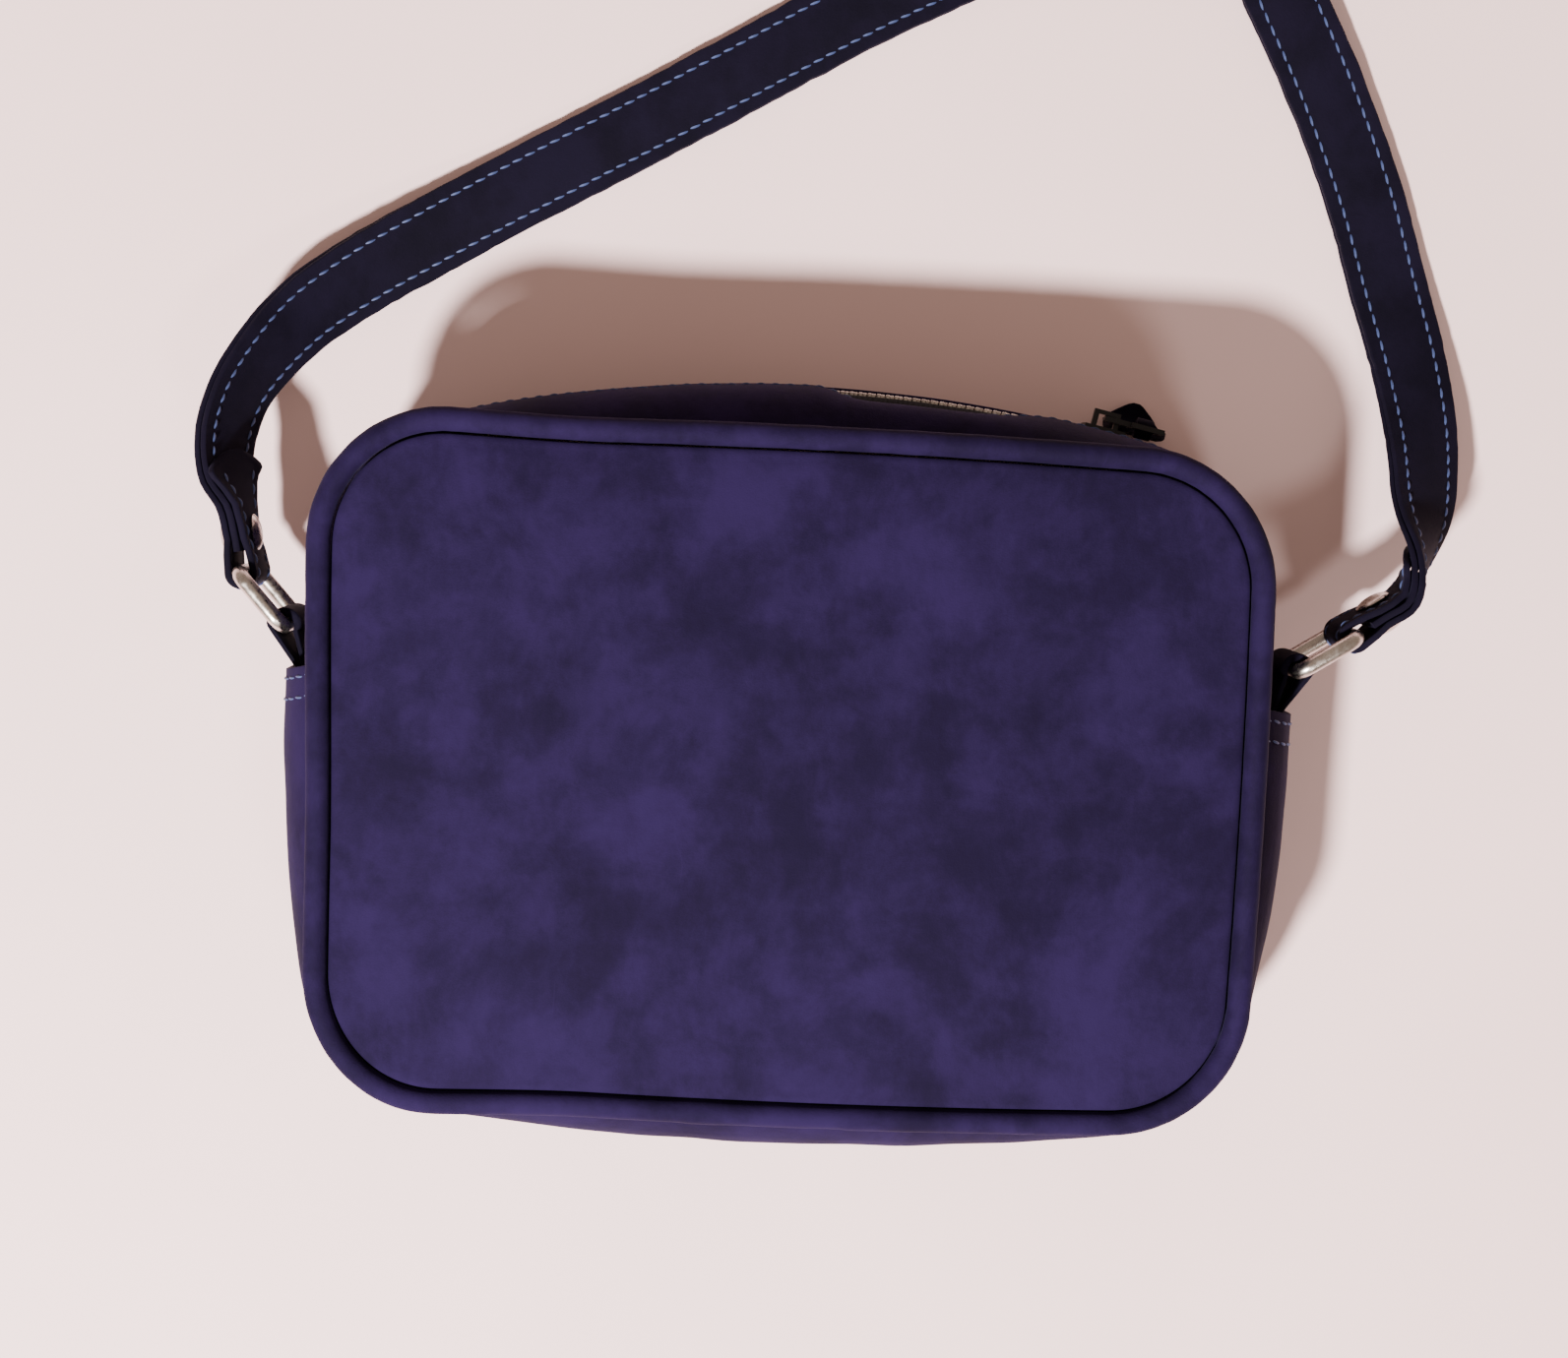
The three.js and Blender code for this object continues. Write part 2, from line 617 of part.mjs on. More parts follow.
function addRings() {
  const sides = [["left", -1, LEFT_RING_ANGLE], ["right", 1, RIGHT_RING_ANGLE]];
  for (const [name, side, angle] of sides) {
    const tab = ringTab().scale(side, 1, 1).translate(0, 0, MID_DEPTH - TAB_WIDTH / 2);
    addPart(`ring_tab_${name}`, facingOut(indexed(tab)), "strap");
    const wire = ringWire()
      .rotateZ(THREE.MathUtils.degToRad(angle))
      .translate(side * RING_BAR_OUT, RING_BAR_Y, MID_DEPTH);
    addPart(`strap_ring_${name}`, wire, "nickel");
  }
}

// ---------- strap ----------
// The strap's route from the left ring to the right ring: x, y, lift off the table, and
// the roll of its outer face about the way it runs (0 is face up, 90 leans to the right).
const ROUTE = [
  [-136.2, 63.5, 18.8, 248], [-137, 73, 15.4, 240],
  [-134.8, 83.2, 11.2, 235], [-129.4, 93, 7.2, 226], [-121.2, 103, 4, 213],
  [-108.2, 113.3, 1.8, 202], [-92, 123.6, 0.6, 192],
  [-74.8, 134, 0.1, 185], [-56.4, 144.6, 0, 181], [-38.4, 154.9, 0, 180],
  [-20.5, 165.4, 0, 180], [13.6, 185.4, 0, 180], [54, 205.6, 0, 180],
  [94.9, 225.3, 0, 178], [130, 242, 0, 160], [162.5, 258, 0, 130],
  [193, 287, 0, 100], [206.5, 330, 0, 90], [191, 379, 0, 90],
  [148.4, 406.5, 0, 90], [100.3, 404, 0, 86], [63, 374, 0, 74],
  [49, 330, 0, 50], [56, 291, 0.6, 22], [74, 260.5, 3.6, 6],
  [94.9, 225.3, 5.4, 0], [112.6, 192, 2.8, 0], [124.6, 170, 0.8, 0],
  [136, 144.2, 0, -2], [142.9, 123, 0.4, -6], [148.6, 104, 2.4, -12],
  [151.6, 86, 7, -21], [151.4, 70, 13, -33], [149.9, 56.2, 17.5, -70],
];
const TABLE_GAP = 0.3;
const PLY = STRAP_LAYER + GAP; // from the middle of one layer to the middle of the next
const RUN_START = 8; // the run's first station, from the bar
const RUN_STRAIGHT = 16;

// The end of the strap at a ring: where it turns round the far bar.
function strapEnd(side, angle, heading) {
  const a = THREE.MathUtils.degToRad(angle);
  const h = THREE.MathUtils.degToRad(heading);
  const bar = new THREE.Vector3(
    side * RING_BAR_OUT + RING_REACH * Math.cos(a),
    RING_BAR_Y + RING_REACH * Math.sin(a),
    MID_DEPTH,
  );
  const run = new THREE.Vector3(Math.cos(h), Math.sin(h), 0);
  const away = new THREE.Vector3(run.y, -run.x, 0).multiplyScalar(side);
  return { bar, run, away };
}
const leftEnd = strapEnd(-1, LEFT_RING_ANGLE, 101);
const rightEnd = strapEnd(1, RIGHT_RING_ANGLE, 36);

function at(end, along, out) {
  return end.bar.clone().addScaledVector(end.run, along).addScaledVector(end.away, out);
}

function wholeRoute() {
  const lift = MID_DEPTH - STRAP_WIDTH / 2 - TABLE_GAP;
  const row = (end, along, roll) => [...at(end, along, PLY / 2).toArray().slice(0, 2), lift, roll];
  return [
    row(leftEnd, RUN_START, 270),
    row(leftEnd, RUN_STRAIGHT, 266),
    ...ROUTE,
    row(rightEnd, RUN_STRAIGHT, -88),
    row(rightEnd, RUN_START, -90),
  ];
}
const route = wholeRoute();
const place = new THREE.CatmullRomCurve3(route.map(([x, y, z]) => new THREE.Vector3(x, y, z)));
const rolls = new THREE.CatmullRomCurve3(route.map((row) => new THREE.Vector3(row[3], 0, 0)));
rolls.curveType = "catmullrom";

function runStation(share) {
  const p = place.getPoint(share);
  const run = place.getTangent(share).setZ(0).normalize();
  const roll = THREE.MathUtils.degToRad(rolls.getPoint(share).x);
  const face = new THREE.Vector3(run.y, -run.x, 0).multiplyScalar(Math.sin(roll)).setZ(Math.cos(roll));
  const wide = new THREE.Vector3().crossVectors(run, face);
  const onEdge = (Math.abs(Math.sin(roll)) * STRAP_WIDTH) / 2;
  p.z = Math.max(p.z, 0) + onEdge + Math.abs(Math.cos(roll)) * PLY + TABLE_GAP;
  return { p, face, wide, share: 1 };
}

// The outer layer's fold at a ring: from the flap's tip along the strap, and round the bar.
function foldStations(end, shareAt) {
  const round = RING_WIRE + GAP + STRAP_LAYER / 2;
  const flat = FLAP_LENGTH - RUN_START;
  const flap = [[flat, 0.25], [flat - 5, 1.14], [flat - 8, 1], [0, 1]];
  const stations = flap.map(([along, share]) => {
    const station = runStation(shareAt(along));
    return { ...station, face: station.face.negate(), share, offset: 1.5 * PLY + GAP / 2 };
  });
  const direction = stations[0].wide.z > 0 ? 1 : -1;
  const wide = new THREE.Vector3(0, 0, direction);
  const add = (p, face) => stations.push({ p, face, wide, share: 1, offset: 0 });
  add(at(end, 4, -(PLY + round) / 2), end.away.clone().negate());
  for (const turn of ramp(180, 0, 6)) {
    const a = THREE.MathUtils.degToRad(turn);
    const face = end.run.clone().multiplyScalar(-Math.sin(a)).addScaledVector(end.away, Math.cos(a));
    add(at(end, -round * Math.sin(a), round * Math.cos(a)), face);
  }
  add(at(end, 4, (PLY + round) / 2), end.away);
  return stations;
}

// One layer's section: the width along wide, the thickness along face.
function layerSection({ p, face, wide, share, offset }) {
  const [w, t, c] = [(STRAP_WIDTH / 2) * share, STRAP_LAYER / 2, 0.4];
  const corners = [
    [-w, c - t], [c - w, -t], [w - c, -t], [w, c - t],
    [w, t - c], [w - c, t], [c - w, t], [-w, t - c],
  ];
  return corners.map(([a, b]) =>
    p.clone().addScaledVector(wide, a).addScaledVector(face, b + offset),
  );
}

// Stands a piece drawn along Y on the rivet's line through the strap's plies.
function onRivetLine({ p, face }, geometry) {
  const turn = new THREE.Quaternion().setFromUnitVectors(new THREE.Vector3(0, 1, 0), face);
  const middle = p.clone().addScaledVector(face, -PLY / 2);
  return geometry.applyQuaternion(turn).translate(...middle.toArray());
}

function addStrap() {
  const total = place.getLength();
  const run = ramp(0, 1, 62).map(runStation);
  const shifted = (offset) => run.map((station) => ({ ...station, offset }));
  const startFold = foldStations(leftEnd, (d) => place.getUtoTmapping(0, d));
  const endFold = foldStations(rightEnd, (d) => place.getUtoTmapping(0, total - d)).reverse();
  const startPly = { ...run[0], p: at(leftEnd, 5, PLY / 2), offset: -PLY / 2 };
  const endPly = { ...run.at(-1), p: at(rightEnd, 5, PLY / 2), offset: -PLY / 2 };
  const layers = {
    strap_outer_layer: [...startFold, ...shifted(PLY / 2), ...endFold],
    strap_inner_layer: [startPly, ...shifted(-PLY / 2), endPly],
  };
  const pin = 1.6;
  const inset = RIVET_PLACE - RUN_START;
  const rivets = {
    left: runStation(place.getUtoTmapping(0, inset)),
    right: runStation(place.getUtoTmapping(0, total - inset)),
  };
  for (const [name, stations] of Object.entries(layers)) {
    const holes = Object.values(rivets).map((station) =>
      onRivetLine(station, new THREE.CylinderGeometry(pin + GAP, pin + GAP, 14, 10)),
    );
    addPart(name, cut(loft(stations.map(layerSection)), ...holes), "strap");
  }
  const face = PLY + STRAP_LAYER / 2 + 2.4 * GAP;
  const bore = pin - GAP;
  const dome = [[RIVET_RADIUS, 0.1], [3.2, 0.8], [1.6, 1.2], [0, 1.3]];
  const cap = [
    ...dome.map(([r, y]) => [r, face + y]).reverse(),
    [RIVET_RADIUS - 0.2, face - 0.1], [pin, face - 0.1], [pin, 0],
    [bore, 0], [bore, face - 0.6], [0, face - 0.6],
  ];
  const base = [
    [0, face - 1], [bore - GAP, face - 1], [bore - GAP, 0.1 - face],
    [RIVET_RADIUS - 0.2, 0.1 - face], ...dome.map(([r, y]) => [r, -face - y]),
  ];
  for (const [name, station] of Object.entries(rivets)) {
    for (const [piece, profile] of [["cap", cap], ["base", base]]) {
      const turned = new THREE.LatheGeometry(profile.map(([r, y]) => new THREE.Vector2(r, y)), 10);
      addPart(`rivet_${piece}_${name}`, facingOut(indexed(onRivetLine(station, turned))), "nickel");
    }
  }
}

addGussets();
addPanels();
addPiping();
addZip();
addSlider();
addRings();
addStrap();

export default bag;
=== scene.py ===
import math

import bpy
from mathutils import Matrix, Vector, noise


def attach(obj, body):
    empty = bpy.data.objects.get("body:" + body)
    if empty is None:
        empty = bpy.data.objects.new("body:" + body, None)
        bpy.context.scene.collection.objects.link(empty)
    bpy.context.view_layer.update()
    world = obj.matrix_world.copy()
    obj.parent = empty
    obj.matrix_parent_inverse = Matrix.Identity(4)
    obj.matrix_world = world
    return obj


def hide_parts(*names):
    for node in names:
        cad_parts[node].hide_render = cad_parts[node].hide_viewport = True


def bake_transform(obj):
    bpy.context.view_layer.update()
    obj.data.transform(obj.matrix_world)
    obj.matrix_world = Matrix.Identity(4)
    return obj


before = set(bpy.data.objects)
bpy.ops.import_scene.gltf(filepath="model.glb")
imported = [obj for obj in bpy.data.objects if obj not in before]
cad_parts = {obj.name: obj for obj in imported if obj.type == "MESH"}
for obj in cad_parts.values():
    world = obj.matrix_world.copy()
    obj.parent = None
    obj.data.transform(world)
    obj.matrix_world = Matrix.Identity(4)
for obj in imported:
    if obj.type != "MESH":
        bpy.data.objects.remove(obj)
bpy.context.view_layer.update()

bl_info = {
    "name": "Leather Crossbody Bag",
    "version": (1, 0, 0),
    "blender": (4, 5, 0),
    "location": "View3D > Sidebar > Bag",
    "description": "A zipped leather crossbody bag lying on a table",
    "category": "Object",
}

GAP = 0.0003
STRIP_TURNS = 4  # steps round the edge of a leather sheet


# ---------- properties ----------
def length(name, text, value):
    return bpy.props.FloatProperty(
        name=name, description=text, default=value, min=0.0, unit="LENGTH", subtype="DISTANCE"
    )


def colour(name, text, value):
    return bpy.props.FloatVectorProperty(
        name=name, description=text, default=value, size=3, min=0.0, max=1.0, subtype="COLOR"
    )


class BagSizes(bpy.types.PropertyGroup):
    panel_length: length("Panel half length", "Centre of the panel to its side seam", 0.1045)
    panel_height: length("Panel half height", "Centre of the panel to its top seam", 0.0755)
    panel_corner: length("Panel corner", "Radius of the panel's corners", 0.027)
    panel_bow: length("Panel bow", "Radius of the panel's bowed edges", 2.3)
    depth: length("Depth", "Front face to the top of the back piping", 0.0605)
    piping: length("Piping radius", "Radius of the covered cord", 0.0029)
    panel_leather: length("Panel leather", "Thickness of the panels", 0.002)
    crown: length("Crown", "How far the back panel puffs up", 0.003)
    gusset_leather: length("Gusset leather", "Thickness of the gussets", 0.0015)
    side_bulge: length("Side bulge", "Bulge of the lower gusset past the side seam", 0.015)
    top_bulge: length("Top bulge", "Bulge of the zipped top past its seam", 0.0155)
    bottom_bulge: length("Bottom bulge", "Bulge of the bottom past its seam", 0.015)
    fold_height: length("Fold height", "Height of the lower gusset's folded edge", 0.0184975)


class ZipSizes(bpy.types.PropertyGroup):
    half: length("Half length", "Half the length of the toothed chain", 0.08)
    slot: length("Slot", "Half width of the slot in the leather", 0.005)
    pitch: length("Pitch", "Distance from one tooth to the next", 0.00215)
    tooth: length("Tooth", "Thickness of the teeth", 0.0024)
    show: length("Slump", "How far the back leather slumps off the teeth", 0.0034)


class StrapSizes(bpy.types.PropertyGroup):
    width: length("Width", "Width of the strap", 0.019)
    layer: length("Layer", "Thickness of one layer", 0.00168)
    pitch: length("Stitch pitch", "Distance from one stitch to the next", 0.0034)
    inset: length("Stitch inset", "Stitch row to the strap's edge", 0.0032)
    thread: length("Thread", "Radius of the thread", 0.00034)
    wire: length("Ring wire", "Radius of the ring's wire", 0.0019)
    rivet: length("Rivet", "Radius of the rivet's head", 0.0043)


class BagColours(bpy.types.PropertyGroup):
    nubuck: colour("Nubuck", "The bag's leather", (0.0088, 0.0042, 0.0245))
    strap: colour("Strap leather", "The strap's leather", (0.003, 0.0018, 0.0075))
    thread: colour("Thread", "The stitching", (0.04, 0.06, 0.16))
    nickel: colour("Nickel", "Rings, rivets and slider", (0.62, 0.57, 0.52))
    tape: colour("Tape", "The zip's tape", (0.008, 0.008, 0.011))
    table: colour("Table", "What the bag lies on", (0.95, 0.69, 0.675))


# ---------- shader expressions ----------
class Socket:
    """A shader output that reads like a number or a vector in an expression."""

    def __init__(self, tree, output):
        self.tree = tree
        self.output = output

    def node(self, kind, inputs, out=0, **settings):
        made = self.tree.nodes.new(kind)
        for key, value in settings.items():
            setattr(made, key, value)
        for key, value in inputs.items():
            if isinstance(value, Socket):
                self.tree.links.new(value.output, made.inputs[key])
            else:
                made.inputs[key].default_value = value
        return Socket(self.tree, made.outputs[out])

    def math(self, operation, *others):
        if self.output.type == "VECTOR":
            values = [o if isinstance(o, Socket) else (o, o, o) for o in others]
            inputs = dict(enumerate([self, *values]))
            return self.node("ShaderNodeVectorMath", inputs, operation=operation)
        return self.node("ShaderNodeMath", dict(enumerate([self, *others])), operation=operation)

    def __add__(self, other):
        return self.math("ADD", other)

    def __sub__(self, other):
        return self.math("SUBTRACT", other)

    def __rsub__(self, other):
        return (self * -1.0) + other

    def __mul__(self, other):
        return self.math("MULTIPLY", other)

    def __truediv__(self, other):
        return self.math("DIVIDE", other)

    __radd__ = __add__
    __rmul__ = __mul__

    def stretched(self, x, y, z, turn=0.0):
        inputs = {"Vector": self, "Scale": (x, y, z), "Rotation": (0, 0, turn)}
        return self.node("ShaderNodeMapping", inputs)

    def noise(self, scale, detail=2.0, rough=0.5):
        inputs = {"Vector": self, "Scale": scale, "Detail": detail, "Roughness": rough}
        return self.node("ShaderNodeTexNoise", inputs)

    def between(self, low, high, start=0.0, end=1.0):
        inputs = {"Value": self, 1: low, 2: high, 3: start, 4: end}
        return self.node("ShaderNodeMapRange", inputs, interpolation_type="SMOOTHSTEP")

    def mixed(self, low, high):
        low, high = [(*c, 1.0) if isinstance(c, tuple) else c for c in (low, high)]
        inputs = {0: self, 6: low, 7: high}
        return self.node("ShaderNodeMix", inputs, out=2, data_type="RGBA")

    def bumped(self, distance, strength=1.0):
        inputs = {"Height": self, "Distance": distance, "Strength": strength}
        return self.node("ShaderNodeBump", inputs)


def finish(name, paint, **constants):
    """A material: paint(point, uv) gives the varying inputs, constants are set as they are."""
    material = bpy.data.materials.new(name)
    material.use_nodes = True
    tree = material.node_tree
    shader = tree.nodes["Principled BSDF"]
    for key, value in constants.items():
        value = (*value, 1.0) if isinstance(value, tuple) else value
        shader.inputs[key.replace("_", " ")].default_value = value
    place = tree.nodes.new("ShaderNodeTexCoord")
    varying = paint(Socket(tree, place.outputs["Object"]), Socket(tree, place.outputs["UV"]))
    for key, value in varying.items():
        tree.links.new(value.output, shader.inputs[key.replace("_", " ")])
    return material


def shade(colour, factor):
    return tuple(min(1.0, c * factor) for c in colour)


def nubuck_paint(base, contrast, lift):
    """Brushed nubuck: clouds where the nap lies different ways, streaks, specks, scratches."""

    def paint(point, uv):
        clouds = point.noise(24.0, 4.0, 0.6).between(0.33, 0.67)
        warp = point + point.node("ShaderNodeTexNoise", {"Vector": point, "Scale": 22.0}, out=1) * 0.02
        patches = warp.noise(62.0, 5.0, 0.62).between(0.3, 0.7)
        streaks = warp.stretched(1.0, 0.4, 1.0, 0.7).noise(420.0, 3.0, 0.6)
        specks = point.noise(2600.0, 2.0, 0.7)
        line = warp.stretched(1.0, 0.12, 1.0, -0.5).noise(70.0, 1.0, 0.4)
        ridge = (line - 0.5).math("ABSOLUTE").between(0.0, 0.006, 1.0, 0.0)
        scratches = ridge * point.noise(31.0, 1.0).between(0.6, 0.72)
        tone = clouds * 0.34 + patches * 0.4 + streaks * 0.24 + specks * 0.26 - 0.12
        tone = tone + scratches * 0.16
        dark, light = shade(base, 1.0 - contrast), shade(base, 1.0 + contrast)
        light = (light[0] + lift, light[1] + lift, light[2] + 1.4 * lift)
        height = specks * 0.5 + streaks * 0.5 + point.noise(300.0, 3.0, 0.6) * 0.8
        return {
            "Base_Color": tone.between(0.05, 0.95).mixed(dark, light),
            "Roughness": tone * 0.1 + 0.78,
            "Normal": height.bumped(0.00022, 0.55),
        }

    return paint


def thread_paint(base):
    def paint(point, uv):
        fibre = point.noise(1800.0, 2.0, 0.6)
        return {
            "Base_Color": fibre.mixed(shade(base, 0.55), shade(base, 1.35)),
            "Normal": fibre.bumped(0.0001, 0.4),
        }

    return paint


def nickel_paint(base):
    def paint(point, uv):
        wear = point.noise(900.0, 3.0, 0.6)
        film = point.noise(160.0, 2.0, 0.5).between(0.35, 0.7)
        return {
            "Base_Color": film.mixed(shade(base, 0.72), base),
            "Roughness": wear.between(0.2, 0.9, 0.2, 0.42),
            "Normal": wear.bumped(0.00004, 0.4),
        }

    return paint


def lacquer_paint(base):
    def paint(point, uv):
        wear = point.noise(700.0, 3.0, 0.6)
        return {"Base_Color": wear.mixed(base, shade(base, 1.6)), "Roughness": wear * 0.25 + 0.3}

    return paint


def tape_paint(base):
    def paint(point, uv):
        rows = uv.node("ShaderNodeTexWave", {"Vector": uv, "Scale": 260.0, "Distortion": 1.5})
        weave = uv.noise(1500.0, 1.0) * 0.5 + rows * 0.5
        return {
            "Base_Color": weave.mixed(shade(base, 0.5), shade(base, 2.2)),
            "Normal": weave.bumped(0.0002, 0.5),
        }

    return paint


FINISHES = {}


def finish_of(name):
    """The named material, made the first time it is asked for."""
    if name not in FINISHES:
        look = bpy.context.scene.bag_colours
        recipes = {
            "nubuck": lambda: finish(
                "nubuck leather", nubuck_paint(tuple(look.nubuck), 0.45, 0.0012),
                Specular_IOR_Level=0.07, Sheen_Weight=0.03, Sheen_Roughness=0.45,
                Sheen_Tint=(0.5, 0.45, 0.9),
            ),
            "strap": lambda: finish(
                "strap leather", nubuck_paint(tuple(look.strap), 0.35, 0.001),
                Specular_IOR_Level=0.08, Sheen_Weight=0.02, Sheen_Roughness=0.5,
                Sheen_Tint=(0.5, 0.45, 0.9),
            ),
            "thread": lambda: finish("thread", thread_paint(tuple(look.thread)), Roughness=0.6),
            "nickel": lambda: finish("worn nickel", nickel_paint(tuple(look.nickel)), Metallic=1.0),
            "black": lambda: finish(
                "black lacquer", lacquer_paint((0.006, 0.006, 0.007)), Specular_IOR_Level=0.4,
            ),
            "tape": lambda: finish("woven tape", tape_paint(tuple(look.tape)), Roughness=0.85),
            "lining": lambda: finish(
                "lining cloth", tape_paint((0.02, 0.018, 0.03)), Roughness=0.9
            ),
        }
        FINISHES[name] = recipes[name]()
    return FINISHES[name]


# ---------- mesh building ----------
class Shape:
    """Closed lofts gathered into one piece."""

    def __init__(self, *finishes):
        self.finishes = finishes
        self.points, self.faces, self.slots, self.uvs = [], [], [], []

    def loft(self, sections, finish=None, ring=False, caps=True):
        """A skin over equal closed sections; ring joins the last one to the first."""
        start, m = len(self.points), len(sections[0])
        slot = self.finishes.index(finish) if finish else 0
        along, rows = 0.0, []
        for i, section in enumerate(sections):
            if i:
                along += (section[0] - sections[i - 1][0]).length
            across = [0.0]
            for j in range(m):
                across.append(across[-1] + (section[(j + 1) % m] - section[j]).length)
            rows.append((along, across))
            self.points.extend(section)
        pairs = [(i, i + 1) for i in range(len(sections) - 1)]
        if ring:
            pairs.append((len(sections) - 1, 0))
        for a, b in pairs:
            end = rows[b][0] if b else rows[a][0] + 0.001
            for j in range(m):
                k = (j + 1) % m
                self.faces.append([start + a * m + j, start + a * m + k, start + b * m + k, start + b * m + j])
                self.uvs.append([
                    (rows[a][0], rows[a][1][j]), (rows[a][0], rows[a][1][j + 1]),
                    (end, rows[b][1][j + 1]), (end, rows[b][1][j]),
                ])
                self.slots.append(slot)
        if caps and not ring:
            for i, turn in ((0, -1), (len(sections) - 1, 1)):
                loop = [start + i * m + j for j in range(m)][::turn]
                self.faces.append(loop)
                self.uvs.append([(rows[i][0], rows[i][1][j]) for j in range(m)][::turn])
                self.slots.append(slot)

    def tube(self, line, radii, sides, normals, finish=None):
        """A round tube; normals give the first direction of each section."""
        sections = []
        for i, (p, radius, normal) in enumerate(zip(line, radii, normals)):
            run = (line[min(i + 1, len(line) - 1)] - line[max(i - 1, 0)]).normalized()
            side = run.cross(normal).normalized()
            up = side.cross(run)
            turns = [2 * math.pi * k / sides for k in range(sides)]
            sections.append([p + radius * (math.cos(a) * side + math.sin(a) * up) for a in turns])
        self.loft(sections, finish)

    def stitches(self, line, pitch, radius, skew=0.0003):
        """Stitches along line, a dense list of (point, outward normal)."""
        lengths = [0.0]
        for (p, _), (q, _) in zip(line, line[1:]):
            lengths.append(lengths[-1] + (q - p).length)

        def look_up(distance):
            i = 0
            low, high = 0, len(lengths) - 1
            while high - low > 1:
                i = (low + high) // 2
                low, high = (i, high) if lengths[i] <= distance else (low, i)
            share = (distance - lengths[low]) / max(lengths[high] - lengths[low], 1e-9)
            (p, n), (q, o) = line[low], line[high]
            return p.lerp(q, share), n.lerp(o, share).normalized()

        count = int(lengths[-1] / pitch)
        for k in range(count):
            begin = (k + 0.14) * lengths[-1] / count
            end = begin + 0.74 * pitch
            points, radii, normals = [], [], []
            for step in range(6):
                u = step / 5
                p, n = look_up(begin + u * (end - begin))
                ahead, _ = look_up(begin + u * (end - begin) + 0.0002)
                aside = (ahead - p).cross(n).normalized()
                swell = math.sin(math.pi * (0.06 + 0.88 * u))
                lift = radius * (1.25 * swell - 0.85)
                points.append(p + n * lift + aside * skew * (u - 0.5))
                radii.append(radius * (0.35 + 0.65 * swell ** 0.5))
                normals.append(n)
            self.tube(points, radii, 6, normals, "thread")

    def build(self, name, body="bag", smooth=40.0, nodes=()):
        mesh = bpy.data.meshes.new(name)
        mesh.from_pydata([tuple(p) for p in self.points], [], self.faces)
        mesh.validate()
        uv = mesh.uv_layers.new(name="length")
        flat = [pair for face in self.uvs for pair in face]
        for item, pair in zip(uv.data, flat):
            item.uv = pair
        for finish_name in self.finishes:
            mesh.materials.append(finish_of(finish_name))
        mesh.polygons.foreach_set("material_index", self.slots)
        piece = bpy.data.objects.new(name, mesh)
        bpy.context.collection.objects.link(piece)
        chosen(piece)
        bpy.ops.object.mode_set(mode="EDIT")
        bpy.ops.mesh.select_all(action="SELECT")
        bpy.ops.mesh.normals_make_consistent(inside=False)
        bpy.ops.object.mode_set(mode="OBJECT")
        return settled(piece, body, smooth, nodes)


def chosen(piece):
    bpy.ops.object.select_all(action="DESELECT")
    piece.select_set(True)
    bpy.context.view_layer.objects.active = piece


def settled(piece, body, smooth, nodes):
    chosen(piece)
    bpy.ops.object.shade_smooth_by_angle(angle=math.radians(smooth))
    if body:
        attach(piece, body)
    if nodes:
        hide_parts(*nodes)
    return piece


def ramp(start, end, count):
    return [start + (end - start) * i / count for i in range(count + 1)]


def ease(value, start, end):
    x = min(1.0, max(0.0, (value - start) / (end - start)))
    return x * x * (3 - 2 * x)


# ---------- the bag's outline ----------
def corner_centre(side_x, side_radius, end_y, end_radius, corner):
    p, q = side_radius - corner, end_radius - corner
    span = math.hypot(side_x, end_y)
    along = (p * p - q * q + span * span) / (2 * span)
    off = math.sqrt(p * p - along * along)
    ux, uy = -side_x / span, end_y / span
    for s in (1, -1):
        x, y = side_x + ux * along - s * uy * off, uy * along + s * ux * off
        if x > 0 and y * -math.copysign(1, end_y) > 0:
            return x, y
    raise RuntimeError("the corner arc doesn't fit its sides")


class Outline:
    """Eight tangent arcs, counter-clockwise from the foot of the right side."""

    def __init__(self, half, top, bottom, top_bow, bottom_bow, side_bow, corner, shift=0.0):
        self.shift = shift
        side_x, top_y, bottom_y = half - side_bow, top - shift - top_bow, bottom_bow - bottom - shift
        tx, ty = corner_centre(side_x, side_bow, top_y, top_bow, corner)
        bx, by = corner_centre(side_x, side_bow, bottom_y, bottom_bow, corner)
        up, down = math.atan2(ty, tx - side_x), math.atan2(by, bx - side_x)
        crown, foot = math.atan2(ty - top_y, tx), math.atan2(by - bottom_y, bx)
        pi = math.pi
        self.arcs = [
            (side_x, 0, side_bow, down, up),
            (tx, ty, corner, up, crown),
            (0, top_y, top_bow, crown, pi - crown),
            (-tx, ty, corner, pi - crown, pi - up),
            (-side_x, 0, side_bow, pi - up, pi - down),
            (-bx, by, corner, pi - down, pi - foot),
            (0, bottom_y, bottom_bow, pi - foot, 2 * pi + foot),
            (bx, by, corner, foot, down),
        ]

    def point(self, place, offset=0.0):
        place %= 8
        x, y, radius, start, end = self.arcs[int(place)]
        angle = start + (place - int(place)) * (end - start)
        reach = radius + offset
        return Vector((x + reach * math.cos(angle), y + self.shift + reach * math.sin(angle), 0))

    def side_place(self, y):
        _, _, radius, start, end = self.arcs[0]
        return (math.asin((y - self.shift) / radius) - start) / (end - start)

    def top_place(self, x):
        _, _, radius, start, end = self.arcs[2]
        return 2 + (math.pi / 2 - math.asin(x / radius) - start) / (end - start)


